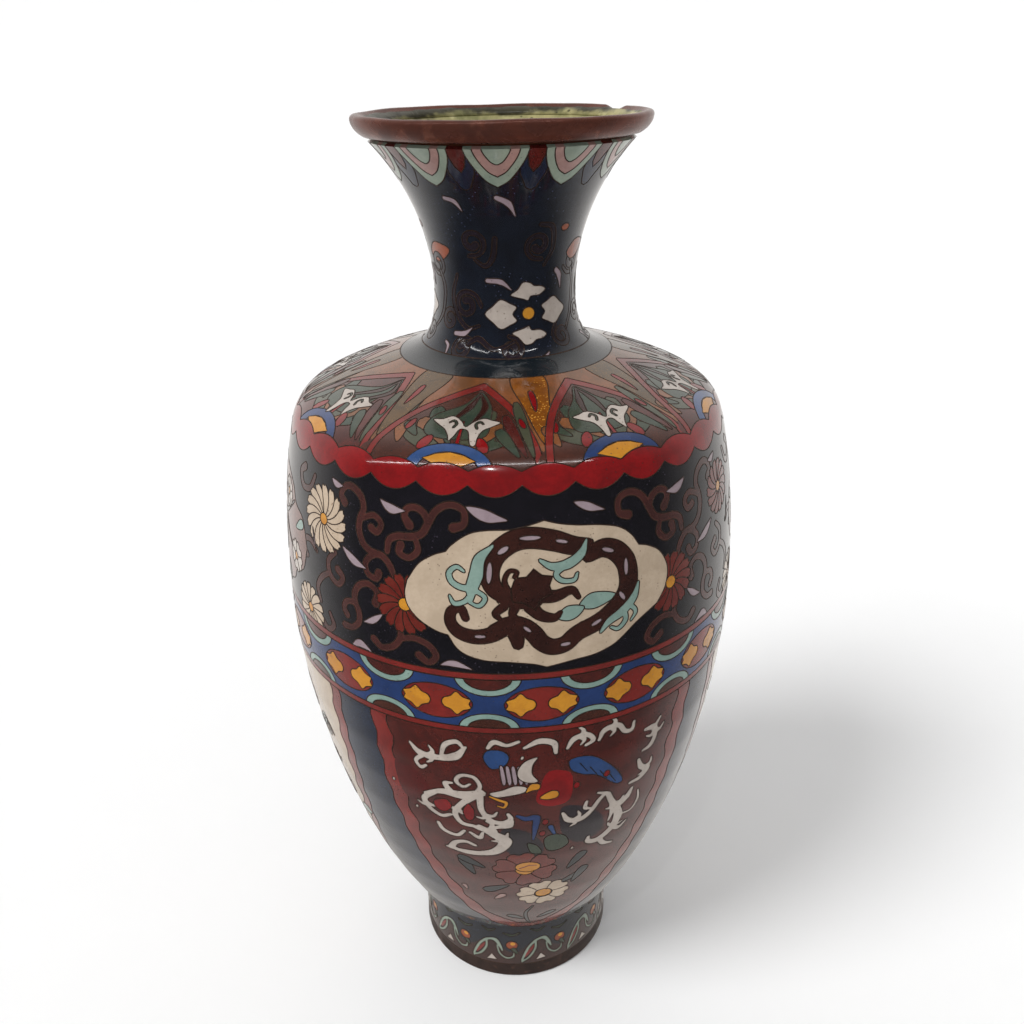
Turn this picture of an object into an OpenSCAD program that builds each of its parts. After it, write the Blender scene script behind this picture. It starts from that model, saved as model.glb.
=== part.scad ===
/* [Overall] */
// height over the rim, in millimetres
total_h = 250; // [200:1:310]
// largest radius of the body over the enamel
belly_r = 60.3; // [50:0.1:72]
// outer radius of the body where it turns in to the shoulder
shoulder_r = 54.9; // [46:0.1:60]
// smallest radius of the neck over the enamel
neck_r = 17.4; // [14:0.1:22]
// outer radius of the rolled rim
rim_r = 34.8; // [30:0.1:42]
// radius of the body at its heel, just over the foot
heel_r = 33.6; // [29:0.1:41]
// outer radius of the foot where it stands
foot_r = 29.8; // [26:0.1:31]
// outer radius of the foot at its top
foot_top_r = 29.2; // [24.9:0.1:30.5]

/* [Heights as parts of the whole height] */
// top of the foot
foot_at = 0.096; // [0.08:0.001:0.12]
// widest level of the body
belly_at = 0.52; // [0.49:0.005:0.53]
// level where the body turns in to the shoulder
shoulder_at = 0.72; // [0.71:0.002:0.725]
// narrowest level of the neck
neck_at = 0.84; // [0.82:0.005:0.86]

/* [Sheets and enamel] */
// depth of the enamel and of the wires that bound it
enamel_t = 1.0; // [0.7:0.05:1.3]
// thickness of the copper sheet
copper_t = 1.2; // [0.9:0.05:1.6]
// thickness of the glaze on the inside
lining_t = 0.6; // [0.3:0.05:0.9]
// width of the boundary wires
wire_w = 0.35; // [0.25:0.05:0.6]
// radius of the roll at the rim
roll_r = 2.35; // [2:0.05:3]
// lean of the mouth at the rim, in degrees from level
flare = 45; // [38:1:55]

/* [Bands] */
// height of the bare metal band round the foot
band_h = 5; // [3:0.1:8]
// lower edge of the belt, as a part of the whole height
belt_at = 0.4764; // [0.46:0.002:0.48]
// height of the belt with its two red lines
belt_h = 17.0; // [14:0.1:20]
// height of each red line
line_h = 1.7; // [1.2:0.1:2.4]
// level of the scalloped edge, as a part of the whole height
scallop_at = 0.7136; // [0.705:0.001:0.7155]
// upper edge of the scalloped band, as a part of the whole height
ledge_at = 0.736; // [0.7315:0.001:0.739]
// upper edge of the shoulder, as a part of the whole height
root_at = 0.778; // [0.772:0.001:0.782]
// upper edge of the slate band at the root of the neck
slate_at = 0.789; // [0.786:0.001:0.796]
// lower edge of the collar of lappets under the rim
collar_at = 0.948; // [0.935:0.001:0.955]

/* [Hidden] */
$fn = 128;
copper_c = [0.46, 0.25, 0.17];
rim_c = [0.36, 0.19, 0.14];
wire_c = [0.55, 0.38, 0.24];
lime_c = [0.68, 0.67, 0.38];
red_c = [0.45, 0.08, 0.07];
black_c = [0.06, 0.06, 0.08];
navy_c = [0.07, 0.09, 0.13];
blue_c = [0.15, 0.24, 0.42];
olive_c = [0.33, 0.22, 0.14];
brown_c = [0.29, 0.12, 0.10];
slate_c = [0.20, 0.27, 0.33];
sage_c = [0.55, 0.62, 0.55];

stack_t = enamel_t + copper_t + lining_t;
core_d = enamel_t;
inner_d = enamel_t + copper_t;
foot_z = foot_at * total_h;
heel_z = foot_z + 2.3;
belly_z = belly_at * total_h;
shoulder_z = shoulder_at * total_h;
neck_z = neck_at * total_h;
turn_r = shoulder_r - 5.7;
turn_z = shoulder_z + 6.4;

// the roll at the rim is a round bar seated across the end of the neck wall
roll_c = [rim_r - roll_r, total_h - roll_r];
flare_t = [cos(flare), sin(flare)];
flare_n = [sin(flare), -cos(flare)];
lip = roll_c - flare_t * sqrt(roll_r * roll_r - stack_t * stack_t / 4) + flare_n * stack_t / 2;

// outline of the outside, foot excepted, as cubic curves joined end to end
low_v = [0.56 * (belly_r - heel_r), 0.2475 * (belly_z - heel_z)];
low_u = low_v / norm(low_v);
up_v = [0.667 * (belly_r - shoulder_r), -0.2556 * (shoulder_z - belly_z)];
turn_v = [0.742 * (neck_r - turn_r), 0.484 * (neck_z - turn_z)];
turn_u = turn_v / norm(turn_v);
heel = [heel_r - 1.5, heel_z - 1.35];
curves = [
    [heel, heel + [0.63, 0.3], [heel_r, heel_z] - 0.7 * low_u, [heel_r, heel_z]],
    [[heel_r, heel_z], [heel_r, heel_z] + low_v,
     [belly_r, belly_z - 0.328 * (belly_z - heel_z)], [belly_r, belly_z]],
    [[belly_r, belly_z], [belly_r, belly_z + 0.36 * (shoulder_z - belly_z)],
     [shoulder_r, shoulder_z] + up_v, [shoulder_r, shoulder_z]],
    [[shoulder_r, shoulder_z], [shoulder_r, shoulder_z] - 2.9 * up_v / norm(up_v),
     [turn_r, turn_z] - 2.6 * turn_u, [turn_r, turn_z]],
    [[turn_r, turn_z], [turn_r, turn_z] + turn_v,
     [neck_r, neck_z - 0.797 * (neck_z - turn_z)], [neck_r, neck_z]],
    [[neck_r, neck_z], [neck_r, neck_z + 0.42 * (lip[1] - neck_z)],
     lip - 0.32 * (lip[1] - neck_z) * flare_t, lip]
];
last_u = len(curves);

function at(c, t) = pow(1 - t, 3) * c[0] + 3 * pow(1 - t, 2) * t * c[1]
    + 3 * (1 - t) * t * t * c[2] + t * t * t * c[3];
function slope(c, t) = 3 * pow(1 - t, 2) * (c[1] - c[0])
    + 6 * (1 - t) * t * (c[2] - c[1]) + 3 * t * t * (c[3] - c[2]);
function part_of(u) = min(floor(u), last_u - 1);
function outer(u) = at(curves[part_of(u)], u - part_of(u));
function along(u) = slope(curves[part_of(u)], u - part_of(u));
// a point of the outline moved inwards, square to it, by d
function layer(u, d) = outer(u) + d * [-along(u)[1], along(u)[0]] / norm(along(u));
// place on the outline that has the height z
function u_at(z, lo = 0, hi = 6, n = 24) = n == 0 ? (lo + hi) / 2
    : outer((lo + hi) / 2)[1] < z ? u_at(z, (lo + hi) / 2, hi, n - 1)
    : u_at(z, lo, (lo + hi) / 2, n - 1);
function wire_end(u) = u + wire_w / norm(along(u));

// lower edges of the wires between the bands, from the foot to the rim
belt_z = belt_at * total_h;
edges_u = [for (z = [belt_z, belt_z + line_h, belt_z + belt_h - line_h, belt_z + belt_h,
    scallop_at * total_h, ledge_at * total_h, root_at * total_h,
    slate_at * total_h, collar_at * total_h]) u_at(z)];
wires = len(edges_u);
steps = [18, 2, 4, 2, 10, 5, 9, 4, 14, 6];
// band k runs from the wire below it to the wire above it
function band(k) = [k == 0 ? 0 : wire_end(edges_u[k - 1]), k == wires ? last_u : edges_u[k],
    steps[k]];
function wire(k) = [edges_u[k], wire_end(edges_u[k]), 1];
// bands and wires in one row, so that all layers share their corners
function stretch(k) = k % 2 == 0 ? band(k / 2) : wire((k - 1) / 2);
function stops(a, b) = concat([for (k = [a:b]) let (s = stretch(k))
    for (i = [0:s[2] - 1]) s[0] + (s[1] - s[0]) * i / s[2]], [stretch(b)[1]]);
function back(list) = [for (i = [len(list) - 1:-1:0]) list[i]];
function line(a, b, d) = [for (u = stops(a, b)) layer(u, d)];

module turned(points) { rotate_extrude() polygon(points); }
module skin(a, b, d0, d1) { turned(concat(line(a, b, d0), back(line(a, b, d1)))); }

// the wire over the belt is where the two body sheets meet, and the one at the neck's root
belly_seam = 7;
neck_seam = 13;
top = 2 * wires;
floor_r = foot_top_r - 0.2;
well_z = foot_z + copper_t;
glaze_z = well_z + lining_t;
well_r = layer(0, inner_d)[0] - 2.2;
glaze_r = layer(0, stack_t)[0] - 2.0;

module lower_body_sheet() color(copper_c)
    turned(concat([[0, foot_z], [floor_r, foot_z]], line(0, belly_seam, core_d),
        back(line(0, belly_seam, inner_d)), [[well_r, well_z], [0, well_z]]));
module upper_body_sheet() color(copper_c)
    skin(belly_seam + 1, neck_seam, core_d, inner_d);
module neck_sheet() color(copper_c)
    skin(neck_seam + 1, top, core_d, inner_d);
module lining() color(lime_c)
    turned(concat([[0, well_z], [well_r, well_z]], line(0, top, inner_d),
        back(line(0, top, stack_t)), [[glaze_r, glaze_z], [0, glaze_z]]));

// roll over the edge of the mouth: the arc that stands clear of the neck wall's end
lip_in = layer(last_u, stack_t);
arc_from = atan2(lip[1] - roll_c[1], lip[0] - roll_c[0]);
arc_turn = 360 - 2 * asin(stack_t / 2 / roll_r);
module rim_roll() color(rim_c)
    turned(concat([lip], [for (i = [1:27])
        roll_c + roll_r * [cos(arc_from + arc_turn * i / 28), sin(arc_from + arc_turn * i / 28)]],
        [lip_in]));

// foot: a bare band below, a sheet wall with its enamel, and the seam to the body
wall_d = enamel_t;
function foot_out(z) = foot_r + (foot_top_r - foot_r) * z / foot_z;
foot_in = foot_top_r - enamel_t - copper_t;
module foot_ring(z0, z1, d0, d1) {
    turned([[foot_out(z0) - d1, z0], [foot_out(z0) - d0, z0],
        [foot_out(z1) - d0, z1], [foot_out(z1) - d1, z1]]);
}
module foot_band() color(copper_c)
    turned([[foot_in, 0.6], [foot_in + 0.6, 0], [foot_out(0) - 0.5, 0], [foot_out(0.5), 0.5],
        [foot_out(band_h), band_h], [foot_in, band_h]]);
module foot_sheet() color(copper_c)
    turned([[foot_in, band_h], [foot_out(band_h) - wall_d, band_h],
        [foot_out(foot_z) - wall_d, foot_z], [foot_in, foot_z]]);
module foot_wire() color(wire_c) foot_ring(band_h, band_h + wire_w, 0, wall_d);
module foot_enamel() color(navy_c) foot_ring(band_h + wire_w, foot_z, 0, wall_d);
module foot_seam() color(wire_c)
    turned([[floor_r, foot_z], [heel[0] - 0.5, foot_z], layer(0, 0), layer(0, core_d)]);
module under_enamel() color(slate_c)
    turned([[0, foot_z - lining_t], [foot_in, foot_z - lining_t], [foot_in, foot_z], [0, foot_z]]);

module enamel(k) { skin(2 * k, 2 * k, 0, core_d); }
module bound(k) { skin(2 * k + 1, 2 * k + 1, 0, core_d); }
module panel_enamel() color(brown_c) enamel(0);
module belt_line_low() color(red_c) enamel(1);
module belt_enamel() color(blue_c) enamel(2);
module belt_line_high() color(red_c) enamel(3);
module frieze_enamel() color(black_c) enamel(4);
module scallop_enamel() color(red_c) enamel(5);
module shoulder_enamel() color(olive_c) enamel(6);
module slate_enamel() color(slate_c) enamel(7);
module neck_enamel() color(navy_c) enamel(8);
module collar_enamel() color(sage_c) enamel(9);
module wire_panel_top() color(wire_c) bound(0);
module wire_belt_low() color(wire_c) bound(1);
module wire_belt_high() color(wire_c) bound(2);
module wire_frieze_low() color(wire_c) bound(3);
module wire_scallop() color(wire_c) bound(4);
module wire_ledge() color(wire_c) bound(5);
module wire_root() color(wire_c) bound(6);
module wire_slate() color(wire_c) bound(7);
module wire_collar() color(wire_c) bound(8);

rim_roll();
neck_sheet();
upper_body_sheet();
lower_body_sheet();
lining();
foot_band();
foot_sheet();
foot_seam();
under_enamel();
foot_wire();
foot_enamel();
panel_enamel();
wire_panel_top();
belt_line_low();
wire_belt_low();
belt_enamel();
wire_belt_high();
belt_line_high();
wire_frieze_low();
frieze_enamel();
wire_scallop();
scallop_enamel();
wire_ledge();
shoulder_enamel();
wire_root();
slate_enamel();
wire_slate();
neck_enamel();
wire_collar();
collar_enamel();
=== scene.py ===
"""Looks of a cloisonne vase: copper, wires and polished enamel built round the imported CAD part."""

import logging
import math
from collections import defaultdict
from dataclasses import dataclass, field
from enum import Enum

import bpy
import numpy as np
from mathutils import Matrix, Vector
from mathutils.geometry import delaunay_2d_cdt


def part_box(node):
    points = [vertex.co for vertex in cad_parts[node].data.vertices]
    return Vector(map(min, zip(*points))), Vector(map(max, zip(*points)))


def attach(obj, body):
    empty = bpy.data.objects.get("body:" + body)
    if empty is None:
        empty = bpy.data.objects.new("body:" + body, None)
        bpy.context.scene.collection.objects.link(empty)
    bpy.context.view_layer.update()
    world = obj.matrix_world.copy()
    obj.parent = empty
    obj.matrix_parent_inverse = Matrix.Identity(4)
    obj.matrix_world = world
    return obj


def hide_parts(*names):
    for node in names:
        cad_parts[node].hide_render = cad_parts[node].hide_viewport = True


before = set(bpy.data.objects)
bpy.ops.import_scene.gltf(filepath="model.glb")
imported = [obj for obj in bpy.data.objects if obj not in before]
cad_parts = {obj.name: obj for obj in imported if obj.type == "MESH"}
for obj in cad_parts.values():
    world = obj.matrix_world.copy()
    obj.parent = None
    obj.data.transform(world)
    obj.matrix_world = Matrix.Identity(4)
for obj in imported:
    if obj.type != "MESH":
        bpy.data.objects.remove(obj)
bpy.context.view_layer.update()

log = logging.getLogger("vase")

Flat = tuple[float, float]
"""A place on the outside: degrees round the axis from the front, millimetres along the outline."""
MM = 0.001


# ---------------------------------------------------------------- shapes in the flat


class Shape:
    """Plain outlines and lines, in millimetres about their own origin."""

    @staticmethod
    def spline(points: list[Flat], closed: bool = False, steps: int = 8) -> list[Flat]:
        """A smooth line through points.

        Args:
            points: the points it passes through.
            closed: whether it returns to its start.
            steps: how many pieces each stretch is cut into.
        Returns:
            The points of the line.
        """
        p = np.array(points, float)
        n = len(p)
        ends = range(n) if closed else range(n - 1)
        out: list[Flat] = []
        for i in ends:
            if closed:
                a, b, c, d = p[i - 1], p[i], p[(i + 1) % n], p[(i + 2) % n]
            else:
                b, c = p[i], p[i + 1]
                a = p[i - 1] if i else 2 * b - c
                d = p[i + 2] if i + 2 < n else 2 * c - b
            for k in range(steps):
                t = k / steps
                q = (
                    2 * b
                    + (c - a) * t
                    + (2 * a - 5 * b + 4 * c - d) * t * t
                    + (3 * b - a - 3 * c + d) * t**3
                ) / 2
                out.append((q[0], q[1]))
        if not closed:
            out.append((p[-1][0], p[-1][1]))
        return out

    @staticmethod
    def arc(cx: float, cy: float, rx: float, ry: float, start: float, end: float, n: int) -> list[Flat]:
        """Part of an ellipse.

        Args:
            cx, cy: its centre.
            rx, ry: its half width and half height.
            start, end: its ends, in degrees anticlockwise from the right.
            n: the number of pieces.
        Returns:
            n + 1 points.
        """
        turns = [math.radians(start + (end - start) * i / n) for i in range(n + 1)]
        return [(cx + rx * math.cos(a), cy + ry * math.sin(a)) for a in turns]

    @staticmethod
    def round(cx: float, cy: float, rx: float, ry: float | None = None, n: int = 20) -> list[Flat]:
        """A whole ellipse as a closed outline."""
        return Shape.arc(cx, cy, rx, rx if ry is None else ry, 0, 360, n)[:-1]

    @staticmethod
    def stroke(centre: list[Flat], widths: list[float], steps: int = 6) -> list[Flat]:
        """The outline of a brush stroke with round ends.

        Args:
            centre: points of its middle line.
            widths: its full width at each of those points.
            steps: smoothing pieces for each stretch.
        Returns:
            A closed outline.
        """
        line = np.array(Shape.spline(centre, steps=steps))
        full = np.interp(np.linspace(0, 1, len(line)), np.linspace(0, 1, len(widths)), widths)
        run = np.gradient(line, axis=0)
        run /= np.maximum(np.linalg.norm(run, axis=1, keepdims=True), 1e-9)
        side = np.stack([-run[:, 1], run[:, 0]], 1) * full[:, None] / 2
        left, right = line + side, line - side
        cap = []
        for at, way, w in ((line[-1], run[-1], full[-1]), (line[0], -run[0], full[0])):
            a = math.atan2(way[1], way[0])
            cap.append(
                [
                    (at[0] + w / 2 * math.cos(a + t), at[1] + w / 2 * math.sin(a + t))
                    for t in (0.9, 0.0, -0.9)
                ]
            )
        return [*map(tuple, left), *cap[0], *map(tuple, right[::-1]), *cap[1]]

    @staticmethod
    def curl(cx: float, cy: float, r: float, start: float, turns: float, shrink: float = 0.3) -> list[Flat]:
        """A spiral line that runs inwards.

        Args:
            cx, cy: its eye.
            r: its radius at the outer end.
            start: the direction of the outer end from the eye, in degrees.
            turns: how far it goes round; negative runs clockwise.
            shrink: the inner radius as a part of the outer.
        Returns:
            Points from the outside in.
        """
        n = max(5, int(abs(turns) * 9))
        out = []
        for i in range(n + 1):
            t = i / n
            a = math.radians(start + 360 * turns * t)
            q = r * (1 - (1 - shrink) * t**0.8)
            out.append((cx + q * math.cos(a), cy + q * math.sin(a)))
        return out

    @staticmethod
    def petal(length: float, width: float, notch: float = 0.0, base: float = 0.25) -> list[Flat]:
        """A petal that points along +Y from the origin."""
        b, w = width * base / 2, width / 2
        tip = [(w * 0.45, length), (0, length - notch), (-w * 0.45, length)]
        side = [(b, 0), (w * 0.8, length * 0.4), (w, length * 0.72), (w * 0.85, length * 0.9)]
        return Shape.spline([*side, *tip, *[(-x, y) for x, y in side[::-1]]], closed=True, steps=4)

    @staticmethod
    def turned(
        points: list[Flat], angle: float = 0, at: Flat = (0, 0), scale: float = 1, flip: bool = False
    ) -> list[Flat]:
        """Points flipped left to right if asked, scaled, turned by angle in degrees, then moved to at."""
        c, s = math.cos(math.radians(angle)), math.sin(math.radians(angle))
        k = -1 if flip else 1
        return [
            (
                at[0] + scale * (k * x * c - y * s),
                at[1] + scale * (k * x * s + y * c),
            )
            for x, y in points
        ]


# ---------------------------------------------------------------- outline of the vase


class Outline:
    """The outside of the vase, measured on the CAD nodes: radius and height along it from the floor."""

    BANDS = (
        "panel_enamel",
        "belt_line_low",
        "belt_enamel",
        "belt_line_high",
        "frieze_enamel",
        "scallop_enamel",
        "shoulder_enamel",
        "slate_enamel",
        "neck_enamel",
        "collar_enamel",
    )

    def __init__(self) -> None:
        """Reads the corners of the foot and of each enamel band."""
        foot = [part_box("foot_band"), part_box("foot_enamel")]
        self.foot_r = foot[0][1].x / MM
        self.foot_top_r = self.seat_radius()
        self.foot_z = foot[1][1].z / MM
        self.foot_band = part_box("foot_wire")[1].z / MM
        self.heights: dict[str, Flat] = {}
        corners = self.corners()
        first = math.hypot(corners[0][0] - self.foot_top_r, corners[0][1] - self.foot_z)
        self.rz = np.array(corners)
        self.s = self.foot_z + first + np.concatenate(
            [[0.0], np.cumsum(np.linalg.norm(np.diff(self.rz, axis=0), axis=1))]
        )
        self.slope = self.slopes()

    @staticmethod
    def seat_radius() -> float:
        """The radius of the foot's enamel at its top, in millimetres."""
        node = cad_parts["foot_enamel"]
        top = max(v.co.z for v in node.data.vertices)
        return max(v.co.xy.length for v in node.data.vertices if v.co.z > top - 1e-5) / MM

    def corners(self) -> list[Flat]:
        """The (radius, height) of each ring of the outer surface, from the heel to the lip, in mm."""
        graph = bpy.context.evaluated_depsgraph_get()
        kept: list[Flat] = []
        for name in self.BANDS:
            seen: dict[tuple[float, float], Vector] = {}
            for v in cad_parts[name].data.vertices:
                seen.setdefault((round(v.co.xy.length, 5), round(v.co.z, 5)), v.co)
            mine: list[Flat] = []
            for co in seen.values():
                way = Vector((co.x, co.y, 0)).normalized()
                if not bpy.context.scene.ray_cast(graph, co + way * 2e-4, way)[0]:
                    mine.append((co.xy.length / MM, co.z / MM))
            self.heights[name] = (min(p[1] for p in mine), max(p[1] for p in mine))
            kept += mine
        kept.sort(key=lambda p: p[1])
        out = [kept[0]]
        for p in kept[1:]:
            if math.dist(p, out[-1]) > 0.2:
                out.append(p)
        return out

    def slopes(self) -> np.ndarray:
        """The direction of the outline at each ring, for the cubic pieces between them."""
        step = np.diff(self.s)[:, None]
        chord = np.diff(self.rz, axis=0) / step
        mid = (chord[:-1] * step[1:] + chord[1:] * step[:-1]) / (step[:-1] + step[1:])
        return np.concatenate([chord[:1], mid, chord[-1:]])

    def at(self, s: np.ndarray) -> tuple[np.ndarray, np.ndarray]:
        """Where the outline is and which way it faces.

        Args:
            s: distances along the outline from the floor, in mm.
        Returns:
            (radius, height) in mm and the outward unit normal, one row for each s.
        """
        s = np.asarray(s, float)
        foot = s < self.foot_z + 0.01
        i = np.clip(np.searchsorted(self.s, s) - 1, 0, len(self.s) - 2)
        h = (self.s[i + 1] - self.s[i])[:, None]
        t = np.clip((s - self.s[i])[:, None] / h, -0.5, 1.5)
        a, b = self.rz[i], self.rz[i + 1]
        m, n = self.slope[i] * h, self.slope[i + 1] * h
        p = a + m * t + (3 * (b - a) - 2 * m - n) * t**2 + (2 * (a - b) + m + n) * t**3
        d = m + 2 * (3 * (b - a) - 2 * m - n) * t + 3 * (2 * (a - b) + m + n) * t**2
        normal = np.stack([d[:, 1], -d[:, 0]], 1)
        normal /= np.linalg.norm(normal, axis=1, keepdims=True)
        share = (s / self.foot_z)[:, None]
        low, top = np.array([self.foot_r, 0.0]), np.array([self.foot_top_r, self.foot_z])
        side = np.array([self.foot_z, self.foot_r - self.foot_top_r])
        p = np.where(foot[:, None], low + (top - low) * share, p)
        return p, np.where(foot[:, None], side / np.linalg.norm(side), normal)

    def radius(self, s: float) -> float:
        """The radius of the outline at s, in mm."""
        return float(self.at(np.array([s]))[0][0, 0])

    def span(self, first: str, last: str | None = None) -> Flat:
        """Where a band of enamel, or a run of bands, starts and ends along the outline."""
        return self.height_to_s(self.heights[first][0]), self.height_to_s(self.heights[last or first][1])

    def height_to_s(self, z: float) -> float:
        """The distance along the outline at a height z in mm."""
        if z <= self.foot_z:
            return z
        return float(np.interp(z, self.rz[:, 1], self.s))

    def place(self, flat: np.ndarray, lift: np.ndarray | float = 0.0) -> tuple[np.ndarray, np.ndarray]:
        """Flat places as points of the vase.

        Args:
            flat: rows of (degrees, mm along the outline).
            lift: how far each point stands out from the surface, in mm.
        Returns:
            The points in metres and their outward unit normals.
        """
        rz, n = self.at(flat[:, 1])
        rz = rz + n * np.reshape(lift, (-1, 1))
        a = np.radians(flat[:, 0])
        ring = np.stack([np.sin(a), -np.cos(a)], 1)
        points = np.concatenate([ring * rz[:, :1], rz[:, 1:]], 1) * MM
        return points, np.concatenate([ring * n[:, :1], n[:, 1:]], 1)


# ---------------------------------------------------------------- finishes


def ink(code: str) -> tuple[float, float, float, float]:
    """A colour from its six-figure web code, in scene-linear values."""
    raw = [int(code[i : i + 2], 16) / 255 for i in (0, 2, 4)]
    lin = [c / 12.92 if c <= 0.04045 else ((c + 0.055) / 1.055) ** 2.4 for c in raw]
    return (*lin, 1.0)


class Sock:
    """A shader socket that can be used in sums."""

    def __init__(self, tree: bpy.types.NodeTree, out: bpy.types.NodeSocket) -> None:
        """Holds one output socket and its tree."""
        self.tree, self.out = tree, out

    def math(self, kind: str, a: object, b: object = 0.0) -> "Sock":
        """A Math node of the given kind on a and b, each a Sock or a number."""
        made = Nodes(self.tree).node("ShaderNodeMath", {"operation": kind}, {0: a, 1: b})
        return Sock(self.tree, made.outputs[0])

    def __add__(self, other: object) -> "Sock":
        """self + other."""
        return self.math("ADD", self, other)

    def __radd__(self, other: object) -> "Sock":
        """other + self."""
        return self.math("ADD", other, self)

    def __sub__(self, other: object) -> "Sock":
        """self - other."""
        return self.math("SUBTRACT", self, other)

    def __rsub__(self, other: object) -> "Sock":
        """other - self."""
        return self.math("SUBTRACT", other, self)

    def __mul__(self, other: object) -> "Sock":
        """self * other."""
        return self.math("MULTIPLY", self, other)

    def __rmul__(self, other: object) -> "Sock":
        """other * self."""
        return self.math("MULTIPLY", other, self)

    def __gt__(self, other: object) -> "Sock":
        """1 where self is greater than other, else 0."""
        return self.math("GREATER_THAN", self, other)

    def ramp(self, low: float, high: float) -> "Sock":
        """self taken from low..high to 0..1 with soft ends."""
        sockets = {"Value": self, "From Min": low, "From Max": high}
        made = Nodes(self.tree).node("ShaderNodeMapRange", {"interpolation_type": "SMOOTHSTEP"}, sockets)
        return Sock(self.tree, made.outputs["Result"])


class Nodes:
    """A node tree, with short calls to grow it."""

    def __init__(self, tree: bpy.types.NodeTree) -> None:
        """Holds the tree."""
        self.tree = tree

    def node(
        self, kind: str, settings: dict[str, object], sockets: dict[str | int, object]
    ) -> bpy.types.Node:
        """A node of any kind.

        Args:
            kind: its Blender type.
            settings: properties to set on it.
            sockets: a Sock or a plain value for each input, by name or number.
        Returns:
            The node.
        """
        made = self.tree.nodes.new(kind)
        for key, value in settings.items():
            setattr(made, key, value)
        for key, value in sockets.items():
            self.feed(made.inputs[key], value)
        return made

    def feed(self, socket: bpy.types.NodeSocket, value: object) -> None:
        """Links a Sock to a socket, or sets a plain value on it."""
        if isinstance(value, Sock):
            self.tree.links.new(value.out, socket)
        else:
            socket.default_value = value

    def sock(self, kind: str, output: str | int, sockets: dict[str | int, object]) -> Sock:
        """One output of a new node that needs no settings."""
        return Sock(self.tree, self.node(kind, {}, sockets).outputs[output])

    def mix_shaders(self, share: Sock, first: Sock, second: Sock, end: str) -> None:
        """Feeds a mix of two shaders to the surface of the tree's end node."""
        both = self.sock("ShaderNodeMixShader", 0, {0: share, 1: first, 2: second})
        self.feed(self.tree.nodes[end].inputs["Surface"], both)


class Shader(Nodes):
    """A material's node tree."""

    def __init__(self, name: str) -> None:
        """Makes an empty material with a Principled shader."""
        self.material = bpy.data.materials.new(name)
        self.material.use_nodes = True
        super().__init__(self.material.node_tree)
        self.main = self.tree.nodes["Principled BSDF"]
        self.coords = self.sock("ShaderNodeTexCoord", "Object", {})

    def noise(self, scale: float, detail: float = 3.0, rough: float = 0.55, warp: float = 0.0) -> Sock:
        """Cloudy noise over the object; scale is in features per metre."""
        sockets = {"Vector": self.coords, "Scale": scale, "Detail": detail}
        sockets |= {"Roughness": rough, "Distortion": warp}
        return self.sock("ShaderNodeTexNoise", "Fac", sockets)

    def spots(self, scale: float, size: float) -> Sock:
        """1 inside scattered round spots, 0 outside; size is their share of a cell."""
        far = self.sock("ShaderNodeTexVoronoi", "Distance", {"Vector": self.coords, "Scale": scale})
        return 1.0 - far.ramp(size * 0.6, size)

    def mix(self, share: object, a: object, b: object) -> Sock:
        """A colour between a and b."""
        made = self.node("ShaderNodeMix", {"data_type": "RGBA"}, {0: share, 6: a, 7: b})
        return Sock(self.tree, made.outputs[2])

    def bump(self, height: Sock, strength: float, distance: float) -> None:
        """Feeds a Bump of the given height field to the shader's Normal."""
        sockets = {"Height": height, "Strength": strength, "Distance": distance}
        self.feed(self.main.inputs["Normal"], self.sock("ShaderNodeBump", "Normal", sockets))

    def set(self, **sockets: object) -> None:
        """Feeds the Principled shader's inputs; underscores stand for spaces."""
        for key, value in sockets.items():
            self.feed(self.main.inputs[key.replace("_", " ")], value)


@dataclass(frozen=True)
class Enamel:
    """Fired and polished glass: a base colour, its cloudiness, specks and pinholes."""

    name: str
    base: str
    cloud: str
    speck: str
    cloud_scale: float = 160.0
    speck_size: float = 0.2
    speck_scale: float = 900.0
    rough: float = 0.16
    grain: float = 0.35
    coat: float = 0.6
    coat_rough: float = 0.06
    ior: float = 1.52

    def build(self) -> bpy.types.Material:
        """Makes the material.

        Returns:
            The finished Blender material.
        """
        sh = Shader(self.name)
        cloudy = sh.noise(self.cloud_scale, 4.0, 0.6, 0.4).ramp(0.38, 0.68)
        fine = sh.noise(self.cloud_scale * 9, 3.0, 0.65).ramp(0.35, 0.7)
        body = sh.mix(cloudy * 0.75, ink(self.base), ink(self.cloud))
        body = sh.mix(fine * self.grain, body, ink(self.cloud))
        area = sh.noise(60.0, 2.0).ramp(0.42, 0.6)
        specks = sh.spots(self.speck_scale, self.speck_size) * area
        body = sh.mix(specks * 0.8, body, ink(self.speck))
        wave = sh.noise(95.0, 2.0)
        pits = sh.spots(1400.0, 0.12) * sh.noise(120.0).ramp(0.5, 0.62)
        sh.set(
            Base_Color=body,
            Roughness=self.rough + cloudy * 0.07 + specks * 0.2,
            Coat_Weight=self.coat - pits * 0.5,
            Coat_Roughness=self.coat_rough,
            IOR=self.ior,
        )
        sh.bump(wave * 0.5 - pits * 0.35, 0.12, 0.0006)
        return sh.material


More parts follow.
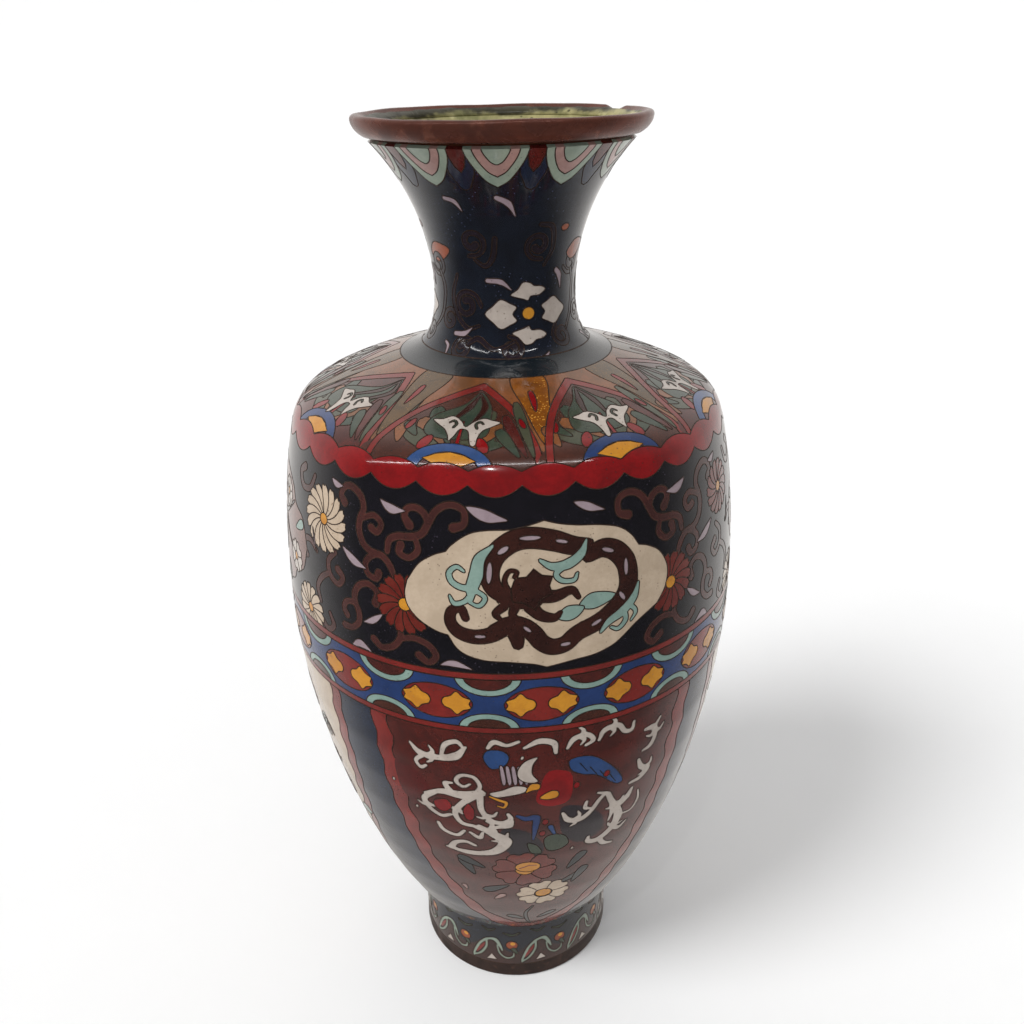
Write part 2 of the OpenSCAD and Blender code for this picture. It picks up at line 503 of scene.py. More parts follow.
@dataclass(frozen=True)
class Copper:
    """Worked copper with brown patina, darker in patches and brighter where it is rubbed."""

    name: str
    base: str
    dark: str
    bright: str
    metallic: float = 0.85
    rough: float = 0.34
    scale: float = 110.0

    def build(self) -> bpy.types.Material:
        """Makes the material.

        Returns:
            The finished Blender material.
        """
        sh = Shader(self.name)
        patch = sh.noise(self.scale, 5.0, 0.62, 0.8).ramp(0.35, 0.7)
        rubbed = sh.noise(self.scale * 3.1, 3.0).ramp(0.55, 0.75)
        grain = sh.noise(self.scale * 14, 2.0)
        body = sh.mix(patch * 0.8, ink(self.base), ink(self.dark))
        body = sh.mix(rubbed * 0.45, body, ink(self.bright))
        sh.set(Base_Color=body, Roughness=self.rough + patch * 0.16 - rubbed * 0.08)
        sh.set(Metallic=self.metallic - patch * 0.15)
        sh.bump(patch * 0.5 + grain * 0.3, 0.2, 0.0003)
        return sh.material


@dataclass(frozen=True)
class Glaze:
    """Unpolished counter enamel: blotched glass with runs and dark specks."""

    name: str
    base: str
    blotch: str
    speck: str
    pale: str = "d6cf9c"
    burnt: str = "1d1b15"
    edge: Flat = (0.25, 0.2516)

    def build(self) -> bpy.types.Material:
        """Makes the material.

        Returns:
            The finished Blender material.
        """
        sh = Shader(self.name)
        blotch = sh.noise(75.0, 5.0, 0.65, 1.2).ramp(0.4, 0.66)
        pale = sh.noise(210.0, 4.0).ramp(0.52, 0.7)
        specks = sh.spots(420.0, 0.22) * sh.noise(150.0).ramp(0.48, 0.6)
        body = sh.mix(blotch * 0.85, ink(self.base), ink(self.blotch))
        body = sh.mix(pale * 0.55, body, ink(self.pale))
        body = sh.mix(specks * 0.9, body, ink(self.speck))
        high = sh.sock("ShaderNodeSeparateXYZ", "Z", {0: sh.coords})
        side = sh.sock("ShaderNodeSeparateXYZ", "X", {0: sh.coords})
        edge = high + sh.noise(130.0, 4.0) * 0.006 - side * 0.03
        body = sh.mix(edge.ramp(*self.edge) * 0.92, body, ink(self.burnt))
        sh.set(Base_Color=body, Roughness=0.3 + blotch * 0.2)
        sh.bump(blotch * 0.6 + sh.noise(500.0) * 0.3, 0.35, 0.0008)
        return sh.material


class Paint(Enum):
    """Every finish on the vase."""

    CREAM = Enamel("cream_enamel", "c0ad97", "ad9a84", "57402f", speck_size=0.17)
    PETAL = Enamel("petal_enamel", "c2ae98", "b09b84", "6b4a2c")
    WHITE = Enamel("white_enamel", "bdb2a8", "a79b92", "5d4c44")
    LILAC = Enamel("lilac_enamel", "9d8c92", "8a787f", "4b3844")
    PINK = Enamel("pink_enamel", "a1817a", "8d6d68", "62423f")
    DUSK = Enamel("dusk_enamel", "7c5c54", "6a4c46", "35201c")
    SAGE = Enamel("sage_enamel", "8c9788", "79867a", "4e5a50")
    TEAL = Enamel("teal_enamel", "869e94", "738c84", "47615a")
    YELLOW = Enamel("yellow_enamel", "c98b2a", "b3731d", "6b3f12")
    ORANGE = Enamel("orange_enamel", "8f4524", "753219", "51200f")
    AMBER = Enamel("amber_enamel", "8a5018", "5e320f", "d89a3c", 260.0, 0.32, 1500.0)
    BRONZE = Enamel("bronze_enamel", "5e4424", "453420", "8a6430", 220.0, 0.26, 1300.0)
    RED = Enamel("red_enamel", "861518", "660f12", "2e0b0c", rough=0.1)
    BRICK = Enamel("brick_enamel", "7e2722", "661f1c", "35120f")
    ROSE = Enamel("rose_enamel", "5e1c17", "70291f", "38120e")
    MAROON = Enamel("maroon_enamel", "521816", "3e1311", "1c0908")
    PLUM = Enamel("plum_enamel", "231a22", "1c151c", "140d12")
    BROWN = Enamel("brown_enamel", "4e2a20", "3a1e17", "1c100c")
    UMBER = Enamel("umber_enamel", "3a1d17", "2a130f", "170a08")
    RUSSET = Enamel("russet_enamel", "5c342e", "472824", "2a1512")
    SCROLL = Enamel("scroll_enamel", "4a2825", "381d1b", "1f100e")
    GROUND = Enamel("ground_enamel", "56221d", "3b1a17", "231010")
    OLIVE = Enamel("olive_enamel", "85502f", "5c3d22", "201a12")
    MOSS = Enamel("moss_enamel", "4a4a3a", "39402f", "1b1e16")
    LEAF = Enamel("leaf_enamel", "3c4436", "2c3a30", "141a14")
    BLACK = Enamel("black_enamel", "16141a", "0e0d12", "3a3240", rough=0.1)
    NAVY = Enamel("navy_enamel", "161b26", "10131c", "39405a", rough=0.1)
    BLUE = Enamel("blue_enamel", "263c6c", "1d3058", "121c3a")
    SKY = Enamel("sky_enamel", "2d4a7c", "243e68", "1a2c50")
    SLATE = Enamel("slate_enamel", "141b21", "10161b", "151d24")
    INDIGO = Enamel("indigo_enamel", "1a2438", "151c2c", "0d111b")
    WIRE = Copper("wire_metal", "4a382f", "2e211b", "7c6252", 0.7, 0.36, 400.0)
    RIM = Copper("rim_metal", "6c3d31", "4a2a22", "8e5a48", 0.5, 0.2, 70.0)
    BAND = Copper("band_metal", "42302a", "2a1e1b", "6e4a3c", 0.55, 0.38)
    SHEET = Copper("sheet_metal", "7a4a34", "4a2c20", "a06a4c", 0.85, 0.42)
    LIME = Glaze("lime_glaze", "a8a070", "6f6f44", "3b3a20")
    UNDER = Glaze("under_glaze", "3d5362", "2b3a46", "10161b")


class Palette:
    """Builds each finish once."""

    def __init__(self) -> None:
        """Starts with nothing built."""
        self.made: dict[Paint, bpy.types.Material] = {}

    def get(self, paint: Paint) -> bpy.types.Material:
        """The material of a finish, built on first use."""
        if paint not in self.made:
            self.made[paint] = paint.value.build()
        return self.made[paint]


# ---------------------------------------------------------------- drawings on the outside


@dataclass(frozen=True)
class Spot:
    """Where a small shape goes: its place, its turn in degrees, its size and whether it is flipped."""

    turn: float
    s: float
    angle: float = 0.0
    scale: float = 1.0
    flip: bool = False


@dataclass
class Cell:
    """One closed cell of enamel. Part names its band; fused cells of one enamel run together."""

    points: list[Flat]
    paint: Paint
    wired: bool
    part: str
    fused: bool = False


@dataclass
class Drawing:
    """Cells laid one over another on a stretch of the outside. Later cells lie on top."""

    outline: Outline
    low: float
    high: float
    cells: list[Cell] = field(default_factory=list)
    part: str = ""
    origin: float = 0.0
    flip: bool = False

    SEAM = 181.0
    """Where bands right round the vase end, in degrees: a little past the back."""

    def per_degree(self, s: float) -> float:
        """Millimetres round the vase for one degree at s."""
        return self.outline.radius(s) * math.pi / 180

    def cell(self, points: list[Flat], paint: Paint, wired: bool = True, fused: bool = False) -> None:
        """Adds a closed outline given in degrees and millimetres from the drawing's origin."""
        k = -1 if self.flip else 1
        moved = [(self.origin + k * x, y) for x, y in points]
        self.cells.append(Cell(moved, paint, wired, self.part, fused))

    def blob(self, points: list[Flat], paint: Paint, wired: bool = True) -> None:
        """Adds a closed outline that runs smoothly through points."""
        self.cell(Shape.spline(points, closed=True, steps=6), paint, wired)

    def ring(self, low: float, high: float, paint: Paint, wired: bool = True) -> None:
        """Adds a plain band right round the vase."""
        ends = (-self.SEAM, self.SEAM)
        self.wavy([(x, low) for x in ends], [(x, high) for x in ends], paint, wired)

    def wavy(self, low: list[Flat], high: list[Flat], paint: Paint, wired: bool = True) -> None:
        """Adds a band right round the vase between two lines that run from seam to seam."""
        self.cells.append(Cell([*low, *high[::-1]], paint, wired, self.part))

    def put(self, shape: list[Flat], paint: Paint, spot: Spot, wired: bool = True) -> None:
        """Adds a shape given in millimetres, placed by a spot."""
        turned = Shape.turned(shape, spot.angle, (0, 0), spot.scale, spot.flip)
        k = self.per_degree(spot.s)
        self.cell([(spot.turn + x / k, spot.s + y) for x, y in turned], paint, wired)

    def stroke(self, line: list[Flat], widths: list[float], paint: Paint, wired: bool = True) -> None:
        """Adds a brush stroke whose middle line is given in degrees and millimetres."""
        k = self.per_degree(sum(y for _, y in line) / len(line))
        shape = Shape.stroke([(x * k, y) for x, y in line], widths)
        self.cell([(x / k, y) for x, y in shape], paint, wired, True)

    def crescent(self, start: Flat, end: Flat, top: float, low: float, paint: Paint) -> None:
        """Adds a crescent between two points, with the rise of its upper and lower edges in mm."""
        (x0, s0), (x1, s1) = start, end
        thick = [(x0 + (x1 - x0) * t, s0 + (s1 - s0) * t) for t in (0.22, 0.5, 0.8)]
        bend = (0.8, 1.0, 0.5)
        over = [(x, y + top * b) for (x, y), b in zip(thick, bend)]
        under = [(x, y + low * b) for (x, y), b in zip(thick, bend)]
        self.blob([start, *over, end, *under[::-1]], paint)

    def flower(
        self,
        spot: Spot,
        r: float,
        petals: int,
        paint: Paint,
        eye: Paint,
        swirl: float = 0.0,
        notch: float = 0.0,
        eye_share: float = 0.22,
    ) -> None:
        """Adds a flower of equal petals round an eye.

        Args:
            spot: its place.
            r: its radius in mm.
            petals: their number.
            paint: their enamel.
            eye: the enamel of the eye.
            swirl: how far each petal's tip leans over, in degrees.
            notch: the depth of the notch in each tip, as a part of r.
            eye_share: the eye's radius as a part of r.
        """
        inner = r * eye_share * 0.7
        wide = 2 * math.pi * r / petals * 0.8
        leaf = [(x, y + inner) for x, y in Shape.petal(r - inner, wide, notch * r)]
        lean = [math.radians(swirl) * math.hypot(x, y) / r for x, y in leaf]
        leaf = [
            (x * math.cos(a) - y * math.sin(a), x * math.sin(a) + y * math.cos(a))
            for (x, y), a in zip(leaf, lean)
        ]
        for i in range(petals):
            self.put(Shape.turned(leaf, 360 * i / petals), paint, spot)
        self.put(Shape.round(0, 0, r * eye_share), eye, spot)

    def curl(self, spot: Spot, r: float, turns: float, widths: list[float], paint: Paint) -> None:
        """Adds a spiral stroke; spot.angle is the direction of its outer end."""
        line = Shape.curl(0, 0, r, spot.angle, turns)
        shape = Shape.stroke(line, widths, steps=3)
        self.put(shape, paint, Spot(spot.turn, spot.s, 0, spot.scale, spot.flip))


class Inlay:
    """Cuts a drawing into triangles, and makes its enamel and its wires."""

    COLUMN = 3.0
    ROW = 2.5
    THICK = 0.9
    WIRE_WIDE = 0.34
    WIRE_PROUD = 0.045
    WIRE_DEEP = 0.1

    def __init__(self, drawing: Drawing, palette: Palette) -> None:
        """Cuts the drawing."""
        self.drawing, self.palette = drawing, palette
        self.flat, self.tris = self.cut()
        self.top = self.label()

    @staticmethod
    def dense(points: list[Flat], longest: float = 2.5) -> list[Flat]:
        """A closed outline with its long sides divided."""
        out: list[Flat] = []
        for a, b in zip(points, [*points[1:], points[0]]):
            n = max(1, math.ceil(math.dist(a, b) / longest))
            out += [(a[0] + (b[0] - a[0]) * i / n, a[1] + (b[1] - a[1]) * i / n) for i in range(n)]
        return out

    def rows(self) -> list[float]:
        """The heights of the rows of loose points: even steps and the outline's own rings."""
        low, high = self.drawing.low, self.drawing.high
        n = max(1, math.ceil((high - low) / self.ROW))
        even = [low + (high - low) * i / n for i in range(n + 1)]
        own = [s for s in self.drawing.outline.s if low < s < high]
        out = [low]
        for s in sorted([*even[1:-1], *own]):
            if s - out[-1] > 0.5 and high - s > 0.5:
                out.append(s)
        return [*out, high]

    def copies(self, cell: Cell) -> list[list[Flat]]:
        """The cell's outline wherever it shows between -180 and 180 degrees."""
        xs = [x for x, _ in cell.points]
        if max(xs) - min(xs) > 350:
            return [cell.points]
        found = [k for k in (-360, 0, 360) if max(xs) + k > -180 and min(xs) + k < 180]
        return [[(x + k, y) for x, y in cell.points] for k in found]

    def cut(self) -> tuple[np.ndarray, np.ndarray]:
        """Joins every outline and the loose points into one triangulation.

        Returns:
            The flat points and the triangles between them.
        """
        low, high = self.drawing.low, self.drawing.high
        verts: list[Flat] = []
        edges: list[tuple[int, int]] = []
        rows = self.rows()
        columns = np.arange(-180, 180.1, self.COLUMN)
        frame_line = [(x, low) for x in columns] + [(180, s) for s in rows[1:-1]]
        frame_line += [(x, high) for x in columns[::-1]] + [(-180, s) for s in rows[-2:0:-1]]
        loops = [frame_line]
        for cell in self.drawing.cells:
            loops += [self.dense(c) for c in self.copies(cell)]
        for loop in loops:
            first, n = len(verts), len(loop)
            verts += loop
            edges += [(first + i, first + (i + 1) % n) for i in range(n)]
        verts += [(x, s) for x in columns[1:-1] for s in rows[1:-1]]
        made = delaunay_2d_cdt([Vector(v) for v in verts], edges, [], 0, 1e-5, False)
        flat = np.array([(v.x, v.y) for v in made[0]])
        tris = np.array([f for f in made[2] if len(f) == 3])
        mid = flat[tris].mean(1)
        inside = (abs(mid[:, 0]) < 180) & (mid[:, 1] > low) & (mid[:, 1] < high)
        tris = tris[inside]
        a, b, c = flat[tris[:, 0]], flat[tris[:, 1]], flat[tris[:, 2]]
        area = (b[:, 0] - a[:, 0]) * (c[:, 1] - a[:, 1]) - (b[:, 1] - a[:, 1]) * (c[:, 0] - a[:, 0])
        tris[area < 0] = tris[area < 0][:, ::-1]
        return flat, tris[abs(area) > 1e-9]

    @staticmethod
    def within(points: np.ndarray, loop: np.ndarray) -> np.ndarray:
        """Which points a closed loop winds round."""
        a, b = loop, np.roll(loop, -1, 0)
        px, py = points[:, :1], points[:, 1:]
        side = (b[:, 0] - a[:, 0]) * (py - a[:, 1]) - (px - a[:, 0]) * (b[:, 1] - a[:, 1])
        up = (a[:, 1] <= py) & (b[:, 1] > py) & (side > 0)
        down = (a[:, 1] > py) & (b[:, 1] <= py) & (side < 0)
        return (up.sum(1) - down.sum(1)) != 0

    def label(self) -> np.ndarray:
        """The number of the topmost cell over each triangle."""
        mid = self.flat[self.tris].mean(1)
        top = np.full(len(mid), -1)
        for i, cell in enumerate(self.drawing.cells):
            for copy in self.copies(cell):
                loop = np.array(copy)
                lo, hi = loop.min(0), loop.max(0)
                near = np.nonzero(((mid > lo) & (mid < hi)).all(1))[0]
                if len(near):
                    top[near[self.within(mid[near], loop)]] = i
        return top

    def enamel(self, part: str, name: str) -> bpy.types.Object:
        """The enamel of one part of the drawing, as a closed shell.

        Args:
            part: the part of the drawing.
            name: the name of the new piece.
        Returns:
            The new object.
        """
        cells = self.drawing.cells
        mine = np.array([c.part == part for c in cells])[self.top] & (self.top >= 0)
        tris, top = self.tris[mine], self.top[mine]
        used, tris = np.unique(tris, return_inverse=True)
        tris = tris.reshape(-1, 3)
        flat = self.flat[used]
        outer, normal = self.drawing.outline.place(flat)
        key = np.round(outer / 2e-6).astype(np.int64)
        _, first, back = np.unique(key, axis=0, return_index=True, return_inverse=True)
        back = back.reshape(-1)
        tris, flat, outer, normal = back[tris], flat[first], outer[first], normal[first]
        whole = (tris[:, 0] != tris[:, 1]) & (tris[:, 1] != tris[:, 2]) & (tris[:, 0] != tris[:, 2])
        tris, top = tris[whole], top[whole]
        inner, _ = self.drawing.outline.place(flat, -self.THICK)
        sides = np.concatenate([tris[:, [0, 1]], tris[:, [1, 2]], tris[:, [2, 0]]])
        owner = np.tile(top, 3)
        known = {(a, b) for a, b in sides.tolist()}
        rim = [i for i, (a, b) in enumerate(sides.tolist()) if (b, a) not in known]
        n = len(outer)
        edges = [(int(sides[i, 0]), int(sides[i, 1])) for i in rim]
        walls = [(b, a, a + n, b + n) for a, b in edges]
        faces = [*tris.tolist(), *(tris[:, ::-1] + n).tolist(), *walls]
        owners = np.concatenate([top, top, owner[rim]])
        mesh = bpy.data.meshes.new(name)
        mesh.from_pydata(np.concatenate([outer, inner]).tolist(), [], faces)
        paints = sorted({cells[i].paint for i in set(owners.tolist())}, key=lambda p: p.name)
        for paint in paints:
            mesh.materials.append(self.palette.get(paint))
        slots = np.array([paints.index(c.paint) if c.paint in paints else 0 for c in cells])
        mesh.polygons.foreach_set("material_index", slots[owners].astype(np.int32))
        m = len(tris)
        smooth = np.arange(len(faces)) < m
        mesh.polygons.foreach_set("use_smooth", smooth)
        loops = np.zeros((len(mesh.loops), 3))
        loops[: 3 * m] = normal[tris.reshape(-1)]
        flat_normals = np.zeros((len(faces), 3))
        mesh.polygons.foreach_get("normal", flat_normals.reshape(-1))
        sizes = [3] * (2 * m) + [4] * len(walls)
        loops[3 * m :] = np.repeat(flat_normals, sizes, axis=0)[3 * m :]
        mesh.normals_split_custom_set(loops.tolist())
        return add(mesh)

    def chains(self, part: str) -> list[tuple[list[int], bool]]:
        """The lines that the wires of one part follow, each with whether it is a closed loop."""
        cells = self.drawing.cells
        owner: dict[tuple[int, int], list[int]] = defaultdict(list)
        for tri, top in zip(self.tris.tolist(), self.top.tolist()):
            for a, b in ((tri[0], tri[1]), (tri[1], tri[2]), (tri[2], tri[0])):
                owner[(min(a, b), max(a, b))].append(top)
        near: dict[int, list[int]] = defaultdict(list)
        for (a, b), tops in owner.items():
            if len(tops) == 2 and tops[0] != tops[1]:
                cell, under = cells[max(tops)], cells[min(tops)]
                joined = cell.fused and under.fused and cell.paint == under.paint
                if cell.wired and cell.part == part and not joined:
                    near[a].append(b)
                    near[b].append(a)
        left = {(min(a, b), max(a, b)) for a in near for b in near[a]}
        out: list[tuple[list[int], bool]] = []
        starts = [v for v in near if len(near[v]) != 2] + [v for v in near if len(near[v]) == 2]
        for start in starts:
            for step in near[start]:
                if (min(start, step), max(start, step)) not in left:
                    continue
                line = [start, step]
                left.discard((min(start, step), max(start, step)))
                while len(near[line[-1]]) == 2 and line[-1] != start:
                    a, b = near[line[-1]]
                    ahead = b if a == line[-2] else a
                    if (min(line[-1], ahead), max(line[-1], ahead)) not in left:
                        break
                    left.discard((min(line[-1], ahead), max(line[-1], ahead)))
                    line.append(ahead)
                out.append((line, line[-1] == start and len(line) > 3))
        return out

    def thin(self, line: list[int], closed: bool, least: float = 0.3) -> np.ndarray:
        """The flat points of a line, without those closer together than least millimetres."""
        pts = self.flat[line]
        world, _ = self.drawing.outline.place(pts)
        keep = [0]
        for i in range(1, len(pts)):
            if np.linalg.norm(world[i] - world[keep[-1]]) > least * MM:
                keep.append(i)
        if closed:
            keep = keep[:-1] if keep[-1] == len(pts) - 1 and len(keep) > 3 else keep
        elif keep[-1] != len(pts) - 1:
            if len(keep) > 1:
                keep.pop()
            keep.append(len(pts) - 1)
        return pts[keep]

    def wires(self, part: str, name: str) -> bpy.types.Object | None:
        """The wires between the cells of one part, as one mesh of flat strips set on edge.

        Args:
            part: the part of the drawing.
            name: the name of the new piece.
        Returns:
            The new object, or None where the part has no wires.
        """
        verts: list[np.ndarray] = []
        faces: list[np.ndarray] = []
        total = 0
        half = self.WIRE_WIDE / 2
        section = [(-half, -self.WIRE_DEEP), (-half * 0.7, self.WIRE_PROUD)]
        section += [(half * 0.7, self.WIRE_PROUD), (half, -self.WIRE_DEEP)]
        for line, closed in self.chains(part):
            pts = self.thin(line, closed)
            n = len(pts)
            if n < (3 if closed else 2):
                continue
            world, normal = self.drawing.outline.place(pts)
            ahead = np.roll(world, -1, 0) - world
            if closed:
                run = ahead / np.linalg.norm(ahead, axis=1, keepdims=True)
                run = run + np.roll(run, 1, 0)
            else:
                unit = ahead[:-1] / np.maximum(np.linalg.norm(ahead[:-1], axis=1, keepdims=True), 1e-12)
                run = np.concatenate([unit[:1], unit[:-1] + unit[1:], unit[-1:]])
            side = np.cross(normal, run)
            side /= np.maximum(np.linalg.norm(side, axis=1, keepdims=True), 1e-12)
            rings = np.stack([world + side * x * MM + normal * y * MM for x, y in section], 1)
            verts.append(rings.reshape(-1, 3))
            turn = n if closed else n - 1
            i = np.arange(turn)[:, None]
            j = (i + 1) % n
            k = np.arange(4)[None]
            kk = (k + 1) % 4
            quads = np.stack([i * 4 + k, j * 4 + k, j * 4 + kk, i * 4 + kk], 2).reshape(-1, 4)
            if not closed:
                last = (n - 1) * 4
                quads = np.concatenate([quads, [[0, 1, 2, 3]], [[last + 3, last + 2, last + 1, last]]])
            faces.append(quads + total)
            total += n * 4
        if not verts:
            return None
        mesh = bpy.data.meshes.new(name)
        mesh.from_pydata(np.concatenate(verts).tolist(), [], np.concatenate(faces).tolist())
        mesh.shade_smooth()
        mesh.materials.append(self.palette.get(Paint.WIRE))
        return add(mesh)

    def build(self, part: str, name: str, slot: str, *nodes: str) -> None:
        """Makes one part's enamel and wires, and ties them to the frame.

        Args:
            part: the part of the drawing.
            name: the start of the pieces' names.
            slot: a material slot name for the enamel; passed on but not used.
            nodes: the CAD nodes that the enamel stands for.
        """
        glass = self.enamel(part, name + "_inlay")
        mount(glass, slot, *nodes)
        wire = self.wires(part, name + "_wires")
        if wire:
            mount(wire, "wire")
        log.info("%s: %d faces of enamel", name, len(glass.data.polygons))


def add(mesh: bpy.types.Mesh) -> bpy.types.Object:
    """Puts a mesh in the scene as an object of the same name."""
    made = bpy.data.objects.new(mesh.name, mesh)
    bpy.context.scene.collection.objects.link(made)
    return made


def mount(piece: bpy.types.Object, slot: str, *nodes: str) -> None:
    """Ties a piece to the vase's one body and hides the CAD nodes it stands for."""
    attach(piece, "root")
    if nodes:
        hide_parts(*nodes)


# ---------------------------------------------------------------- the bands of enamel


@dataclass
class Band:
    """What every band of enamel needs to draw itself."""

    outline: Outline
    palette: Palette

    def drawing(self, first: str, last: str | None = None) -> Drawing:
        """An empty drawing over the bands of the CAD nodes first to last."""
        low, high = self.outline.span(first, last)
        return Drawing(self.outline, low, high)

    @staticmethod
    def round_off(front: tuple[float, ...], total: int) -> list[float]:
        """The places in front and as many even ones behind as make up total."""
        gap = (front[0] + 360 - front[-1]) / (total - len(front) + 1)
        return [*front, *(front[-1] + gap * (i + 1) for i in range(total - len(front)))]


@dataclass
class FootVine(Band):
    """The foot's enamel: a pale vine that loops between a dark sky and a brown ground."""

    loops: int = 12
    first: float = -17.0
    crest: float = 12.5
    swell: float = 2.5

    def build(self) -> None:
        """Draws the vine and makes the enamel."""
        low, high = self.outline.foot_band, self.outline.foot_z
        d = Drawing(self.outline, low, high, part="foot")
        d.ring(low - 1, high + 1, Paint.NAVY)
        step = 360 / self.loops
        turns = range(-int(d.SEAM), int(d.SEAM) + 1, 2)
        wave = [math.cos(math.radians((a - self.first) * self.loops)) for a in turns]
        top = [(a, self.crest + self.swell * w) for a, w in zip(turns, wave)]
        d.wavy([(-d.SEAM, low - 1), (d.SEAM, low - 1)], top, Paint.UMBER, False)
        for i in range(self.loops):
            d.origin = self.first + i * step
            self.loop(d, step)
        Inlay(d, self.palette).build("foot", "foot", "navy_enamel", "foot_enamel")

    def loop(self, d: Drawing, step: float) -> None:
        """One loop of the vine with its leaf, tail, bud and seed."""
        half = step / 2
        d.stroke(
            [(2.5, 15.2), (-1.5, 14.6), (-6.2, 11.8), (-9.6, 7.6), (-10, 6)],
            [0.82, 1.1, 0.98, 0.9, 0.66], Paint.SAGE,
        )
        d.stroke([(-1.5, 14.6), (-1.8, 11.4), (-5.2, 8.2), (-9.8, 6.2)], [0.82, 0.9, 0.9, 0.66], Paint.SAGE)
        d.blob([(-2.8, 13.2), (-3.2, 11.4), (-6.2, 9), (-8.4, 8), (-6.2, 10.8)], Paint.BRICK, False)
        d.stroke([(0.5, 15.2), (4, 15), (6.6, 13), (8.2, 10.8)], [0.9, 1.6, 1.2, 0.66], Paint.SAGE)
        d.stroke(
            [(5, 12.8), (6.6, 9.6), (10.6, 7.8), (14.6, 8.4), (15.2, 10)],
            [0.66, 0.74, 0.82, 0.82, 0.49], Paint.SAGE,
        )
        d.put(Shape.round(0, 0, 1.9, 1.7, 12), Paint.ORANGE, Spot(half - 1, 13.2))
        d.put(Shape.round(0.3, 0.6, 0.8, 0.7, 8), Paint.YELLOW, Spot(half - 1, 13.2), False)
        d.put([(-1.7, -0.9), (1.7, -0.9), (0.2, 1.5)], Paint.WHITE, Spot(1.5, 7.4, 6))
        d.put(Shape.petal(3.0, 1.4), Paint.LEAF, Spot(-12.5, 9.6, 35))
        d.stroke([(half - 6, 18.2), (half - 1, 17.4), (half + 4, 18.4)], [0.5, 0.9, 0.5], Paint.LEAF)
        d.stroke([(-4, 19.6), (0, 18.6), (4, 19.6)], [0.5, 0.8, 0.5], Paint.LEAF)


